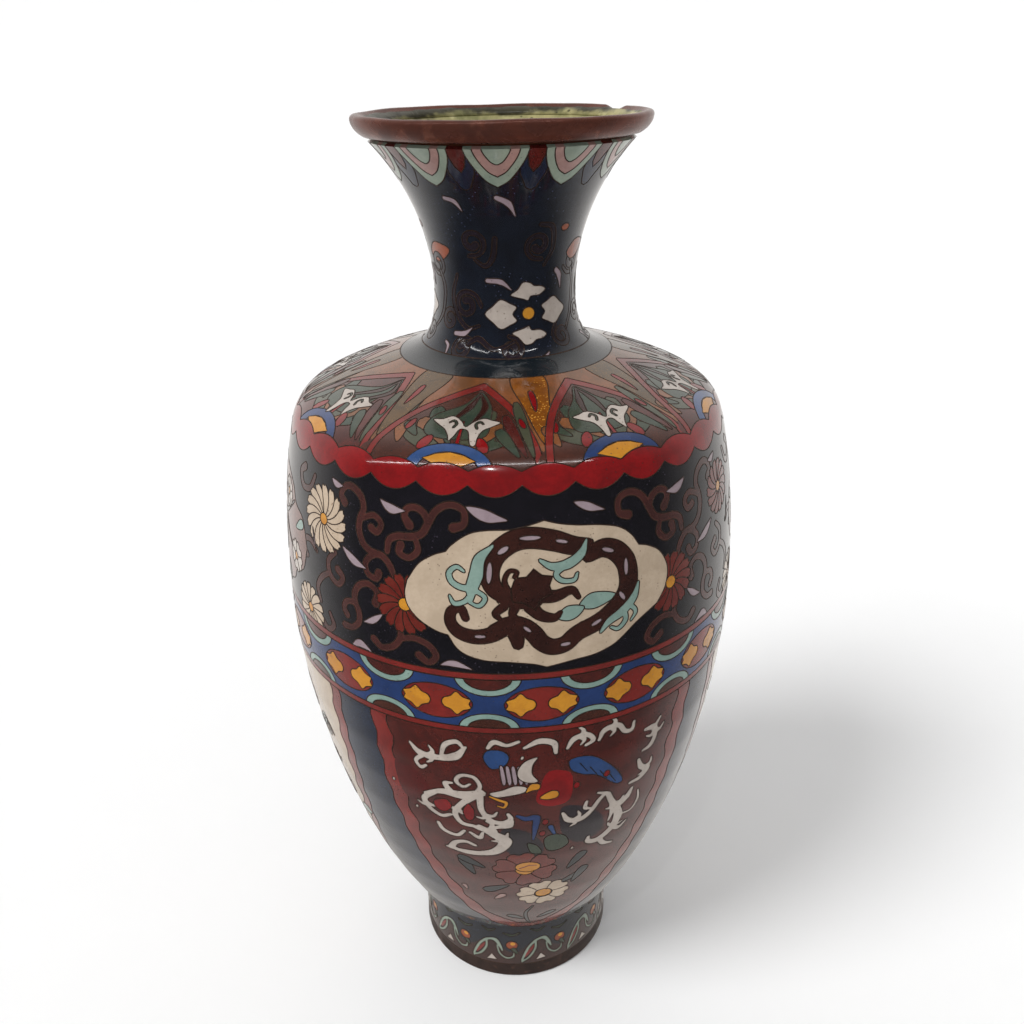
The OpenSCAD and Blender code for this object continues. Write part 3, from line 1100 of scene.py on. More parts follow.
@dataclass
class LowerPanels(Band):
    """The tall panels of the lower body: a bird among clouds on brown, and sprays on cream."""

    centre: float = 6.5
    brown_half: float = 41.5
    cream_half: float = 37.2
    border: float = 4.8
    tip: float = 28.2
    blossoms: tuple[Flat, ...] = (
        (-9, 62), (10, 70), (-8, 84), (9, 92), (-9, 104), (13, 112), (-18, 117), (19, 82),
    )
    cloud_weight: float = 1.3
    shield: tuple[Flat, ...] = (
        (128, 1.0),
        (100, 0.985),
        (79, 0.925),
        (67, 0.86),
        (51, 0.72),
        (42, 0.6),
        (34, 0.42),
        (29.5, 0.22),
        (28.2, 0.0),
    )
    clouds: tuple[tuple[tuple[Flat, ...], tuple[float, ...]], ...] = (
        (
            ((-24.8, 119.8), (-22.5, 117.2), (-18, 116.8), (-13.5, 118.2), (-11, 121.5)),
            (0.7, 1.7, 1.5, 2.0, 0.8),
        ),
        (((-17, 118), (-15.8, 121.5), (-13, 123), (-11.5, 121.2)), (0.9, 1.3, 1.3, 0.7)),
        (((-21.8, 116.5), (-23.8, 114.2), (-22.8, 112), (-21.3, 113.2)), (1.2, 1.0, 1.0, 0.8)),
        (((-5.8, 121.8), (-4.3, 123.8), (-1.5, 122.8), (1.2, 123.9)), (0.9, 1.4, 1.0, 0.9)),
        (((2.5, 121.8), (6, 123.7), (9.2, 122.6), (9.8, 119.4)), (0.8, 1.6, 1.5, 0.9)),
        (((12.5, 120.3), (14, 123), (17, 123.6), (18.8, 121.4), (17, 120.2)), (0.8, 1.5, 1.3, 1.1, 0.9)),
        (
            ((20.2, 120.8), (21.5, 123.6), (25, 123.9), (27, 121.2), (29, 120.8), (29.4, 123.2)),
            (0.8, 1.5, 1.3, 1.2, 1.1, 0.8),
        ),
        (((33.3, 118.7), (36, 118.2), (37, 115.5), (36, 112.2), (33.6, 111.4)), (0.9, 1.8, 1.3, 1.5, 0.8)),
        (((36.2, 117.8), (38, 120.6)), (1.3, 0.7)),
        (((-8, 106), (-13, 104.6), (-18, 104.8), (-23, 102.6)), (2.0, 2.4, 1.7, 0.8)),
        (((-15.5, 105), (-17, 108), (-15.2, 108.6)), (1.6, 1.2, 0.8)),
        (((-20, 104), (-23.4, 100.5), (-22.6, 97), (-19.5, 94.8), (-16.8, 96)), (1.3, 1.5, 1.3, 1.2, 1.0)),
        (((-9.6, 105), (-13.4, 101), (-15.4, 97), (-14, 93.3), (-10.6, 92.6)), (1.8, 1.5, 1.4, 1.3, 1.1)),
        (
            ((-8.4, 105), (-8.3, 99.5), (-6.2, 95.6), (-3.2, 94.6), (-1, 96.2), (-1.6, 98.3)),
            (1.5, 1.4, 1.4, 1.5, 1.3, 0.9),
        ),
        (((-10.8, 92.6), (-8, 91.4), (-4.6, 92.8), (-1.4, 93.4), (-0.6, 95.2)), (1.2, 1.3, 1.2, 1.4, 0.9)),
        (
            ((-9.4, 92.8), (-5.8, 89.8), (-2.6, 86.6), (-5, 82.2), (-9.6, 80.4), (-14.5, 80.2), (-20, 81)),
            (1.3, 2.2, 2.9, 2.4, 1.8, 1.7, 0.7),
        ),
        (((-18.6, 81), (-16.8, 83.8), (-13.8, 85), (-11.2, 83.8)), (1.6, 1.4, 1.2, 1.0)),
        (((-20.8, 91.4), (-19.6, 88.6), (-16, 87.4), (-13.6, 90)), (1.0, 1.3, 1.2, 0.9)),
        (((-12, 89.6), (-9.6, 87.6), (-8.6, 90)), (0.9, 1.3, 0.8)),
        (
            ((32.8, 108.6), (34.2, 105.4), (36.8, 103.6), (34.8, 101.2), (31.4, 100.8)),
            (0.9, 1.5, 1.4, 1.5, 1.0),
        ),
        (
            ((12.5, 96.8), (14.2, 93.6), (17.6, 92.8), (20.4, 95), (22.6, 99), (24.2, 100.6)),
            (0.8, 1.6, 1.6, 1.3, 1.3, 1.0),
        ),
        (((24, 100.6), (21.6, 101.8)), (1.2, 0.7)),
        (((24.8, 100), (26.4, 96.4), (28.4, 93.4), (31.4, 95.4), (32.6, 98.2)), (1.3, 1.5, 1.9, 2.0, 1.0)),
        (((18.8, 99.4), (18.6, 97), (20.2, 96.2)), (0.9, 1.1, 0.8)),
        (((26.4, 96.4), (27.2, 91.6), (26.8, 88)), (1.2, 1.2, 0.7)),
        (
            ((28.6, 93), (29.9, 88), (28.6, 83.6), (24.6, 80.6), (21.4, 81.4), (21.2, 83.4)),
            (1.7, 2.5, 2.0, 1.9, 1.5, 0.9),
        ),
        (((29.4, 83.6), (31.6, 82.2), (33.8, 84)), (1.4, 1.3, 0.8)),
        (((25.4, 80), (27.4, 77.4), (30.6, 76)), (1.3, 1.4, 0.8)),
        (((35.2, 96), (36, 92), (34.4, 88.4), (31, 88.6)), (0.6, 0.9, 0.9, 0.7)),
    )

    def half(self, s: float, share: float) -> float:
        """The half width of a panel at s, where share is its half width at the top."""
        stops = self.shield[::-1]
        return share * float(np.interp(s, [p[0] for p in stops], [p[1] for p in stops]))

    def panel(self, d: Drawing, half: float, inset: float, wave: float, paint: Paint) -> None:
        """One shield-shaped panel.

        Args:
            d: the drawing, with its origin at the panel's centre.
            half: the half width of the whole panel at the top, in degrees.
            inset: how far inside the whole panel this one lies, in degrees at the top.
            wave: the height of the waves along its edge, in degrees.
            paint: its enamel.
        """
        low, high = self.tip + inset * 0.9, d.high + 1
        n = 60
        right = []
        for i in range(n + 1):
            s = low + (high - low) * (i / n) ** 1.6
            w = self.half(self.tip + (s - low) * (high - self.tip) / (high - low), half)
            w = max(0.0, w - inset * min(1.0, w / 12))
            right.append((w + wave * math.sin(s * 0.62) * min(1.0, w / 10), s))
        left = [(-x, s) for x, s in right[::-1]]
        d.cell([*right, *left[:-1]], paint)

    def build(self) -> None:
        """Draws the four panels and makes the enamel."""
        d = self.drawing("panel_enamel")
        d.part = "panel"
        d.ring(d.low - 1, d.high + 1, Paint.INDIGO)
        for turn in (0.0, 180.0):
            d.origin = self.centre + turn
            self.panel(d, self.brown_half, 0.0, 0.5, Paint.BRICK)
            self.panel(d, self.brown_half, self.border, 0.7, Paint.GROUND)
            d.origin = turn
            self.bird(d)
            self.flowers(d)
            d.origin = self.centre - 90 + turn
            self.panel(d, self.cream_half, 0.0, 0.5, Paint.BRICK)
            self.panel(d, self.cream_half, self.border * 0.8, 0.7, Paint.CREAM)
            self.spray(d)
        Inlay(d, self.palette).build("panel", "panel", "brown_enamel", "panel_enamel")

    def bird(self, d: Drawing) -> None:
        """The bird and the clouds about it, over shaded patches of the ground."""
        d.blob([(12, 99), (18, 98), (24, 92), (25, 85), (19, 82), (13, 88)], Paint.PLUM, False)
        d.blob([(-3, 92), (3, 91), (8, 84), (6, 77), (0, 79), (-4, 86)], Paint.PLUM, False)
        d.blob([(-30, 112), (-24, 110), (-21, 103), (-25, 96), (-30, 101)], Paint.MAROON, False)
        d.blob(
            [(8.5, 113.5), (13.5, 112), (14.5, 106), (13.5, 101.5), (9, 100.5), (5.5, 103), (6.5, 109)],
            Paint.RED, False,
        )
        d.blob(
            [
                (13.5, 116.5), (19, 116), (25, 110), (28.5, 104), (26.5, 103.2), (21, 108.5),
                (16.5, 110.5), (13.6, 113),
            ],
            Paint.SKY,
        )
        for i in range(4):
            x, y = 15.8 + 2.8 * i, 114.6 - 2.3 * i
            d.stroke([(x, y), (x + 2.2, y - 3.6)], [0.4, 0.25], Paint.INDIGO, False)
        d.blob([(-7, 118.5), (-5.8, 121), (-2.6, 121), (-1, 119), (-2, 116.2), (-5.2, 115)], Paint.SKY)
        for i in range(5):
            x = -3.3 + 1.35 * i
            d.blob(
                [
                    (x, 115.8 - 0.2 * i), (x + 0.9, 115.6), (x + 1.5, 110.5), (x + 0.9, 109.2),
                    (x + 0.4, 110.5),
                ],
                Paint.LILAC,
            )
        d.blob(
            [
                (5.6, 118.6), (2.6, 117.4), (0.9, 114.4), (1.2, 111.6), (3.2, 110), (5.8, 110.2),
                (4.4, 113), (4.5, 116),
            ],
            Paint.WHITE,
        )
        d.blob(
            [(-6, 106.2), (-4.4, 104.8), (-1, 105.4), (2.6, 106.6), (3, 108.4), (0.2, 109), (-3, 107.4)],
            Paint.WHITE,
        )
        d.blob([(2.8, 106.4), (4, 109.4), (6.2, 109.2), (6.1, 107.4), (4.4, 107)], Paint.YELLOW)
        d.blob(
            [(6.3, 104), (7.4, 105.4), (9.4, 106.4), (10.9, 105.6), (10.8, 103.8), (8.4, 103.2)],
            Paint.YELLOW,
        )
        d.stroke(
            [(-6, 105), (-3.8, 103.8), (-2, 102.8), (-2.6, 101), (-4.2, 101.6)],
            [0.7, 1.1, 1.1, 0.9, 0.6], Paint.YELLOW,
        )
        d.stroke(
            [
                (-9.4, 106), (-8.2, 108.6), (-9.6, 111.6), (-12.6, 111.8), (-14, 109.6), (-12.4, 107.8),
                (-10.6, 109),
            ],
            [1.3, 1.3, 1.4, 1.4, 1.4, 1.2, 0.9], Paint.WHITE,
        )
        for line, widths in self.clouds:
            d.stroke(list(line), [w * self.cloud_weight for w in widths], Paint.WHITE)
            if len(line) > 4:
                self.hooks(d, line[1], line[2])
        d.blob([(-11.6, 101.6), (-13.2, 98.2), (-12.4, 94.8), (-10.6, 95.6), (-10.2, 99)], Paint.RED)
        d.blob([(-20.8, 100.4), (-17.4, 102), (-16, 99.6), (-18, 96.8), (-20.4, 97.4)], Paint.RED)
        d.stroke(
            [(0.8, 97.4), (3, 96.2), (5.6, 96.4), (5.4, 92), (5, 87)], [1.2, 2.0, 2.2, 1.7, 0.8],
            Paint.BLUE,
        )
        d.stroke([(9.5, 92), (11, 88)], [1.6, 0.8], Paint.SKY)
        d.blob([(8, 86.6), (10.4, 88.4), (13.8, 87), (15.2, 83), (12.4, 80.8), (9, 81.6)], Paint.LEAF)
        d.blob([(3.4, 85.4), (6.2, 84), (7.6, 80.4), (4.6, 80.8)], Paint.LEAF)
        for x, y in ((7.4, 89.4), (8, 94.2), (23.4, 108.2), (15.5, 106.8)):
            d.put(Shape.round(0, 0, 0.9, 1.2, 10), Paint.RED, Spot(x, y))
        for x, y in ((16.6, 80.2), (19, 75.6), (-26.4, 95.8), (-32, 103.8), (2, 118.6)):
            d.put(Shape.round(0, 0, 0.45, 0.7, 8), Paint.WHITE, Spot(x, y, -20))

    @staticmethod
    def hooks(d: Drawing, start: Flat, end: Flat) -> None:
        """Two small curled hooks that leave a cloud between two of its points, one on each side."""
        (x0, y0), (x1, y1) = start, end
        for reach, side in ((1.9, 1.0), (1.6, -1.1)):
            hook, angle = [((x0 + x1) / 2, (y0 + y1) / 2)], math.atan2(y1 - y0, x1 - x0)
            for turn in (side, side * 1.1):
                angle += turn
                x, y = hook[-1]
                hook.append((x + reach * math.cos(angle), y + reach * math.sin(angle)))
            d.stroke(hook, [1.6, 1.3, 0.7], Paint.WHITE)

    def flowers(self, d: Drawing) -> None:
        """The two flowers under the bird, with their leaves."""
        for turn, s, angle in (
            (-13, 69, 20), (-9.5, 73, 55), (16.5, 70, -30), (14.5, 62, -60), (-2.5, 63.5, 120),
            (19.5, 61, -20),
        ):
            d.put(Shape.petal(8.0, 3.2), Paint.SLATE, Spot(turn, s, angle))
        d.flower(Spot(2.9, 72.2, 10), 8.6, 6, Paint.ROSE, Paint.YELLOW, 0, 0.08, 0.3)
        d.put(Shape.round(0, 0, 3.4, 2.6), Paint.YELLOW, Spot(3.75, 73.7))
        d.put(
            [(-2.2, -0.9), (0.3, 0.5), (2.4, 0.4), (2.3, 0.7), (0.2, 0.9), (-2.4, -0.5)], Paint.BRICK,
            Spot(3.75, 73.7), False,
        )
        d.flower(Spot(9.6, 57.4, 12), 7.4, 6, Paint.PETAL, Paint.OLIVE, 0, 0.1, 0.34)
        d.put(Shape.round(0, 0, 2.3), Paint.YELLOW, Spot(9.6, 57.6))
        d.put(Shape.petal(4.6, 2.0), Paint.PINK, Spot(-7.6, 54.4, -40))
        d.put(Shape.petal(3.0, 1.6), Paint.PINK, Spot(-17, 58.4, 15))
        d.stroke([(6.5, 48.5), (4, 44), (4.5, 38), (6.5, 33)], [0.6, 1.0, 1.0, 0.6], Paint.SLATE)
        for k in (-1, 1):
            d.put(Shape.petal(6.0, 2.6), Paint.SLATE, Spot(6.5 + 3 * k, 38, -k * 50))

    def spray(self, d: Drawing) -> None:
        """A spray of dark stems and blossoms on a cream panel."""
        d.stroke([(2, 36), (-3, 55), (6, 75), (0, 95), (8, 116)], [1.6, 1.8, 1.5, 1.3, 0.8], Paint.LEAF)
        for i, (x, s) in enumerate(self.blossoms):
            k = -1 if x < 0 else 1
            d.stroke([(x * 0.12, s - 9), (x * 0.5, s - 6), (x, s - 2)], [1.0, 1.0, 0.7], Paint.LEAF)
            d.put(Shape.petal(9.0, 4.0), Paint.TEAL, Spot(x * 1.25, s - 9, -k * 55))
            d.flower(
                Spot(x, s, 20 * i), 5.4, 6, Paint.ROSE if i % 2 else Paint.SKY, Paint.YELLOW, 0, 0.1,
                0.28,
            )
        for k in (-1, 1):
            d.curl(Spot(22 * k, 104), 4.2, 1.2 * k, [0.8, 1.2, 1.4, 1.6], Paint.UMBER)
            d.curl(Spot(20 * k, 93), 3.2, -1.1 * k, [0.8, 1.0, 1.2, 1.4], Paint.UMBER)


@dataclass
class Belt(Band):
    """The belt of red ovals, yellow quatrefoils and hanging arcs, between two red lines."""

    ovals: tuple[float, ...] = (-41.5, -17.0, 6.5, 29.0, 51.5)
    total: int = 15
    arc_thick: float = 1.6

    def build(self) -> None:
        """Draws the belt and makes its enamel and the lines beside it."""
        for name in ("belt_line_low", "belt_line_high"):
            line = self.drawing(name)
            line.part = name
            line.ring(line.low - 1, line.high + 1, Paint.BRICK)
            Inlay(line, self.palette).build(name, name, "red_enamel", name)
        d = self.drawing("belt_enamel")
        d.part = "belt"
        d.ring(d.low - 1, d.high + 1, Paint.BLUE)
        turns = self.round_off(self.ovals, self.total)
        for here, ahead in zip(turns, [*turns[1:], turns[0] + 360]):
            d.origin = (here + ahead) / 2
            self.arcs(d)
        for turn in turns:
            d.origin = turn
            self.oval(d)
        Inlay(d, self.palette).build("belt", "belt", "blue_enamel", "belt_enamel")

    def arcs(self, d: Drawing) -> None:
        """The hanging arc and the rising arc between two ovals."""
        hanging = (d.high + 0.6, -4.9, 7.3, Paint.GROUND)
        rising = (d.low - 0.6, 4.6, 6.8, Paint.BROWN)
        for edge, reach, half, inner in (hanging, rising):
            d.cell(self.half_round(edge, half, reach, 17), Paint.TEAL)
            share = 1 - self.arc_thick / abs(reach)
            d.cell(self.half_round(edge, half * (share + 0.06), reach * share, 15), inner)

    @staticmethod
    def half_round(edge: float, half: float, reach: float, n: int) -> list[Flat]:
        """Half an ellipse of n points that stands on the line s = edge."""
        turns = np.linspace(0, math.pi, n)
        return [(half * math.cos(a), edge + reach * math.sin(a)) for a in turns]

    def oval(self, d: Drawing) -> None:
        """A red oval with a yellow quatrefoil on each side of its middle."""
        mid = (d.low + d.high) / 2 - 0.2
        side = [(8.3, 0), (6.4, 2.9), (3.4, 4.3), (0, 4.8), (-3.4, 4.3), (-6.4, 2.9), (-8.3, 0)]
        d.blob([*[(x, mid + y) for x, y in side], *[(-x, mid - y) for x, y in side[1:-1]]], Paint.BRICK)
        for k in (-1, 1):
            lobes = [(1.3, 0), (1.9, 1.3), (3.3, 1.9), (4.7, 3.3), (6.1, 2.0), (7.9, 1.2), (7.5, 0)]
            ring = [*[(k * x, mid + y) for x, y in lobes], *[(k * x, mid - y) for x, y in lobes[-2:0:-1]]]
            d.blob(ring, Paint.YELLOW)


@dataclass
class UpperBody(Band):
    """The dark frieze with its reserves, the scalloped red band and the shoulder above it."""

    middle: float = 7.5
    lobes: int = 30
    scallop_low: float = 187.6
    scallop_high: float = 190.6
    droop: float = 2.5
    rise: float = 1.6
    phase: float = 9.0
    ring_low: float = 188.0
    sun_base: float = 189.6
    cartouche: tuple[tuple[Flat, ...], ...] = (
        ((-13.8, 172.8), (-12.3, 174.6), (-8.8, 177.1), (-5, 178), (0, 178.2), (4.2, 179), (7.5, 179.9)),
        ((7.5, 179.9), (10.8, 178.9), (15, 178.1), (20, 177.4), (24.6, 176), (27.6, 173.6), (29.4, 170.8)),
        (
            (29.4, 170.8), (31.9, 169.9), (35, 167.8), (36.9, 164.6), (37.4, 161.7), (36.5, 158.1),
            (34.2, 154.9),
        ),
        ((34.2, 154.9), (30, 152.8), (27.7, 151.4), (25.4, 149.6)),
        ((25.4, 149.6), (22.7, 147.8), (18.5, 146.4), (13.5, 145.8), (7.5, 144.8)),
        (
            (7.5, 144.8), (4.6, 145.8), (-0.4, 146.5), (-5.8, 146.9), (-9.6, 148.1), (-11.9, 149.9),
            (-13.5, 152.8),
        ),
        ((-13.5, 152.8), (-16.2, 153.5), (-20, 155.6), (-22.6, 158.6), (-23.3, 161.7), (-22.7, 164.9)),
        ((-22.7, 164.9), (-20, 169.2), (-16.6, 171.7), (-13.8, 172.8)),
    )
    body: tuple[tuple[tuple[Flat, ...], tuple[float, ...]], ...] = (
        (
            (
                (-9.6, 157.4), (-10.6, 159.7), (-12.6, 158.9), (-12.9, 156.2), (-11.2, 153.9),
                (-8, 152.9), (-4.6, 153.4), (-1.9, 155),
            ),
            (1.5, 1.7, 2.0, 2.3, 2.7, 3.0, 3.2, 3.4),
        ),
        (
            (
                (-3.4, 154.2), (0, 156.2), (2.7, 155.5), (4.8, 153.6), (6.4, 151.3), (8.7, 149.9),
                (11.5, 150.3), (13.7, 152.2), (16, 153.5),
            ),
            (3.4, 3.4, 3.5, 3.5, 3.4, 3.4, 3.5, 3.5, 3.5),
        ),
        (
            (
                (15, 153), (19.2, 154.6), (22.3, 156.6), (24.8, 158.9), (26.3, 161.7), (26.4, 165.1),
                (25.6, 168.1), (23.4, 170.8), (20.4, 172), (17, 171),
            ),
            (3.5, 3.6, 3.7, 3.9, 4.1, 4.2, 4.2, 4.0, 3.6, 3.0),
        ),
        (
            (
                (17, 173.2), (13.5, 173.7), (9.6, 175.2), (5, 176.2), (1.2, 175.8), (-1.9, 173.8),
                (-3.8, 171.2), (-4.4, 167.8), (-3.3, 164.6), (-1, 162.6),
            ),
            (2.8, 3.6, 4.0, 4.1, 4.1, 4.0, 3.9, 3.7, 3.3, 2.6),
        ),
        (((-1.6, 162.8), (1.4, 162.4), (4.6, 163.2), (6.2, 165)), (3.0, 4.2, 5.6, 3.4)),
        (((5.6, 163), (9.4, 162.4), (13, 163.4), (14.6, 161.4)), (3.2, 2.4, 1.6, 0.9)),
        (((4, 160.4), (6.4, 158), (9.2, 157.2), (10.6, 158.4)), (2.6, 2.2, 1.7, 0.8)),
        (
            ((-0.4, 164.2), (-1.2, 166.6), (-0.2, 168.8), (1.4, 168.6), (1, 167.4)),
            (1.1, 0.9, 0.8, 0.8, 0.9),
        ),
        (((0.6, 154.6), (1.2, 152.6), (1.4, 151)), (3.0, 2.8, 2.2)),
        (((-1.4, 160.6), (-3.2, 158.8), (-2.2, 157.4)), (1.8, 1.4, 0.8)),
        (((1, 160.6), (0.4, 158.4), (2, 157.2)), (2.0, 1.4, 0.8)),
    )
    flames: tuple[tuple[tuple[Flat, ...], tuple[float, ...]], ...] = (
        (
            ((-3.6, 174.6), (-6.4, 171.6), (-7.2, 167.8), (-8.2, 164.6), (-8.4, 162)),
            (0.8, 2.6, 3.2, 2.8, 1.2),
        ),
        (
            ((-7.4, 165.4), (-10, 164.7), (-12.4, 165.9), (-13, 168), (-11.4, 169.5), (-9.8, 168.6)),
            (1.4, 1.6, 1.5, 1.4, 1.2, 0.8),
        ),
        (((-8.2, 163.4), (-9.8, 161.4), (-12, 160.8), (-13, 162.6)), (1.3, 1.3, 1.3, 0.7)),
        (((-7.6, 164.4), (-5.4, 162.6), (-6.6, 160.6), (-8.6, 161.2)), (1.3, 1.2, 1.2, 0.8)),
        (((16.7, 174.6), (15.4, 171.6), (12.4, 169.6), (9, 169.4), (6.4, 171)), (0.7, 2.2, 2.5, 1.9, 0.9)),
        (
            ((11.8, 169.4), (9.8, 167.6), (11, 165.9), (13.6, 165.7), (14.4, 167.2)),
            (1.6, 1.4, 1.3, 1.2, 0.8),
        ),
        (((29, 161.9), (27.8, 158.6), (25, 155.8), (21.6, 154), (19.6, 151.8)), (0.7, 2.1, 2.5, 1.9, 0.9)),
        (((25.2, 156), (25.6, 153.4), (23.8, 151.6), (22, 152.4)), (1.5, 1.4, 1.2, 0.8)),
        (((26.6, 157), (28.2, 154.8), (27, 152.8)), (1.3, 1.2, 0.7)),
    )
    scrolls: tuple[tuple[tuple[Flat, ...], tuple[float, ...]], ...] = (
        (
            (
                (-40.2, 179), (-41.5, 180.6), (-40.3, 182.8), (-38, 183.2), (-35.3, 181.7),
                (-34.3, 179.2), (-35.2, 176.6), (-35.4, 173.9), (-34.3, 171.2), (-32.2, 169.7),
                (-28.8, 169.2), (-26.8, 167.2), (-25.7, 164.5),
            ),
            (1.9, 1.4, 1.3, 1.4, 1.5, 1.4, 1.5, 1.5, 1.5, 1.4, 1.5, 1.4, 1.0),
        ),
        (
            ((-34.6, 176.8), (-31.4, 178.2), (-29.3, 176.7), (-30.3, 174.5), (-32, 175.2)),
            (1.0, 1.2, 1.2, 1.2, 1.7),
        ),
        (
            (
                (-28.9, 169.4), (-31.5, 168.8), (-33.4, 166.6), (-32.9, 164.1), (-30.7, 163.3),
                (-29.8, 164.9),
            ),
            (1.0, 1.3, 1.3, 1.3, 1.3, 1.8),
        ),
        (
            (
                (-12.1, 178.2), (-9.8, 179.2), (-9.8, 182), (-12, 183.2), (-14.4, 182.8),
                (-16.4, 181.2), (-17.8, 178.6), (-19.2, 176.2), (-21.8, 175.1), (-25, 174.7),
                (-27.1, 173.4), (-27.6, 170.6),
            ),
            (1.9, 1.3, 1.2, 1.3, 1.3, 1.4, 1.5, 1.5, 1.5, 1.5, 1.4, 1.1),
        ),
        (
            (
                (-22.1, 177.6), (-23.4, 179.6), (-22.8, 181.3), (-20.7, 181.8), (-18.7, 180.7),
                (-17.9, 178.6),
            ),
            (1.9, 1.4, 1.3, 1.3, 1.4, 1.0),
        ),
        (
            ((-20.7, 174.9), (-20.1, 172.2), (-22.2, 170.2), (-24.6, 171), (-24.2, 172.9)),
            (1.0, 1.3, 1.3, 1.3, 1.8),
        ),
        (
            (
                (-30.9, 157), (-30.4, 159.8), (-32.6, 161.4), (-35.3, 160.4), (-36.8, 158),
                (-36.8, 155.6), (-35.8, 153.2), (-36, 150.6), (-38, 148.5), (-40.6, 148.1),
            ),
            (1.9, 1.3, 1.3, 1.4, 1.5, 1.5, 1.5, 1.4, 1.3, 1.7),
        ),
        (((-36.8, 155.4), (-39.4, 154.9), (-40.5, 152.9), (-39.6, 151.2)), (1.1, 1.3, 1.3, 1.7)),
        (
            ((-25.2, 153), (-24.6, 150.4), (-26.4, 147.4), (-29.6, 146), (-31.8, 147.6)),
            (0.9, 1.4, 1.4, 1.4, 1.8),
        ),
        (
            ((-25, 149.6), (-21.4, 150.6), (-18, 149.4), (-16.4, 146.9), (-18.2, 144.9), (-20.4, 146.4)),
            (1.0, 1.4, 1.4, 1.4, 1.3, 1.8),
        ),
        (
            ((-43, 166), (-45.6, 163.2), (-45.2, 159.8), (-42.4, 158.2), (-40.6, 160.4), (-42.3, 162)),
            (0.9, 1.3, 1.4, 1.3, 1.3, 1.8),
        ),
        (((-45.4, 160), (-48.6, 157.6), (-50.6, 154.2), (-49.6, 150.8)), (1.1, 1.3, 1.3, 1.0)),
        (
            ((-50.6, 163.6), (-53.6, 165.4), (-56.6, 164.6), (-57.4, 162), (-55.5, 160.9)),
            (0.9, 1.3, 1.3, 1.3, 1.7),
        ),
        (((-46, 149), (-44.8, 146.2), (-47, 144.2), (-49.4, 145.6)), (0.9, 1.3, 1.3, 1.7)),
        (
            ((-52.5, 181.8), (-54.5, 178.2), (-58.3, 177.6), (-60.2, 180.6), (-58, 182.4)),
            (0.9, 1.3, 1.4, 1.4, 1.8),
        ),
    )
    units: tuple[float, ...] = (-59.0, -14.0, 28.0, 69.0)
    peaks: tuple[float, ...] = (-49.0, -10.0, 28.3, 69.0)
    valleys: tuple[float, ...] = (-37.0, 8.5, 50.0)
    total: int = 8

    def build(self) -> None:
        """Draws the three bands and makes their enamel."""
        d = self.drawing("frieze_enamel", "shoulder_enamel")
        d.part = "frieze"
        d.ring(d.low - 1, d.high + 1, Paint.BLACK)
        for turn in (0.0, 180.0):
            for k in (False, True):
                d.origin, d.flip = turn + (2 * self.middle if k else 0), k
                self.scroll_work(d, k)
            d.origin, d.flip = turn, False
            self.dragon(d)
            d.origin = turn + self.middle + 90
            self.side_reserve(d)
        d.origin = 0.0
        self.shoulder(d)
        self.scallop(d)
        inlay = Inlay(d, self.palette)
        inlay.build("frieze", "frieze", "black_enamel", "frieze_enamel")
        inlay.build("scallop", "scallop", "red_enamel", "wire_scallop", "scallop_enamel", "wire_ledge")
        inlay.build("shoulder", "shoulder", "olive_enamel", "shoulder_enamel")

    def scroll_work(self, d: Drawing, other: bool) -> None:
        """The scrolling stems, flowers and buds beside a reserve."""
        for line, widths in self.scrolls:
            d.stroke(list(line), [w + 0.35 for w in widths], Paint.RUSSET)
        for line, widths in self.scrolls:
            d.stroke(list(line), [w - 0.25 for w in widths], Paint.SCROLL, False)
        if other:
            d.flower(Spot(-45.8, 174.5), 6.8, 14, Paint.ROSE, Paint.YELLOW, 20, 0.04, 0.2)
        else:
            d.flower(Spot(-47.7, 172.8), 8.2, 16, Paint.PETAL, Paint.YELLOW, 26, 0.03, 0.18)
        d.flower(Spot(-55, 146.5), 6.6, 14, Paint.PETAL, Paint.YELLOW, -22, 0.03, 0.2)
        d.flower(Spot(-23.4, 158.7), 7.4, 14, Paint.ROSE, Paint.YELLOW, 14, 0.04, 0.22)
        commas = (
            ((-29.9, 182.2), (-23.2, 180.7), 0.2, -2.0),
            ((-9.4, 183.0), (-0.2, 180.2), 0.9, -1.9),
            ((14.2, 183.2), (21.4, 180.6), 0.9, -1.2),
            ((-40.6, 168.4), (-33.2, 165.0), 0.5, -1.9),
            ((-29.0, 154.8), (-34.6, 151.2), 0.5, -1.6),
            ((-38.6, 143.4), (-32.6, 143.6), 2.4, 0.2),
            ((-15.6, 144.7), (-8.2, 144.2), 1.9, 0.1),
            ((-52.6, 169.2), (-50.6, 162.8), 0.9, -0.9),
            ((-45.4, 183.5), (-41.0, 182.6), 0.2, -1.5),
        )
        for start, end, over, under in commas:
            if not other or end[0] < -12:
                d.crescent(start, end, over, under, Paint.LILAC)

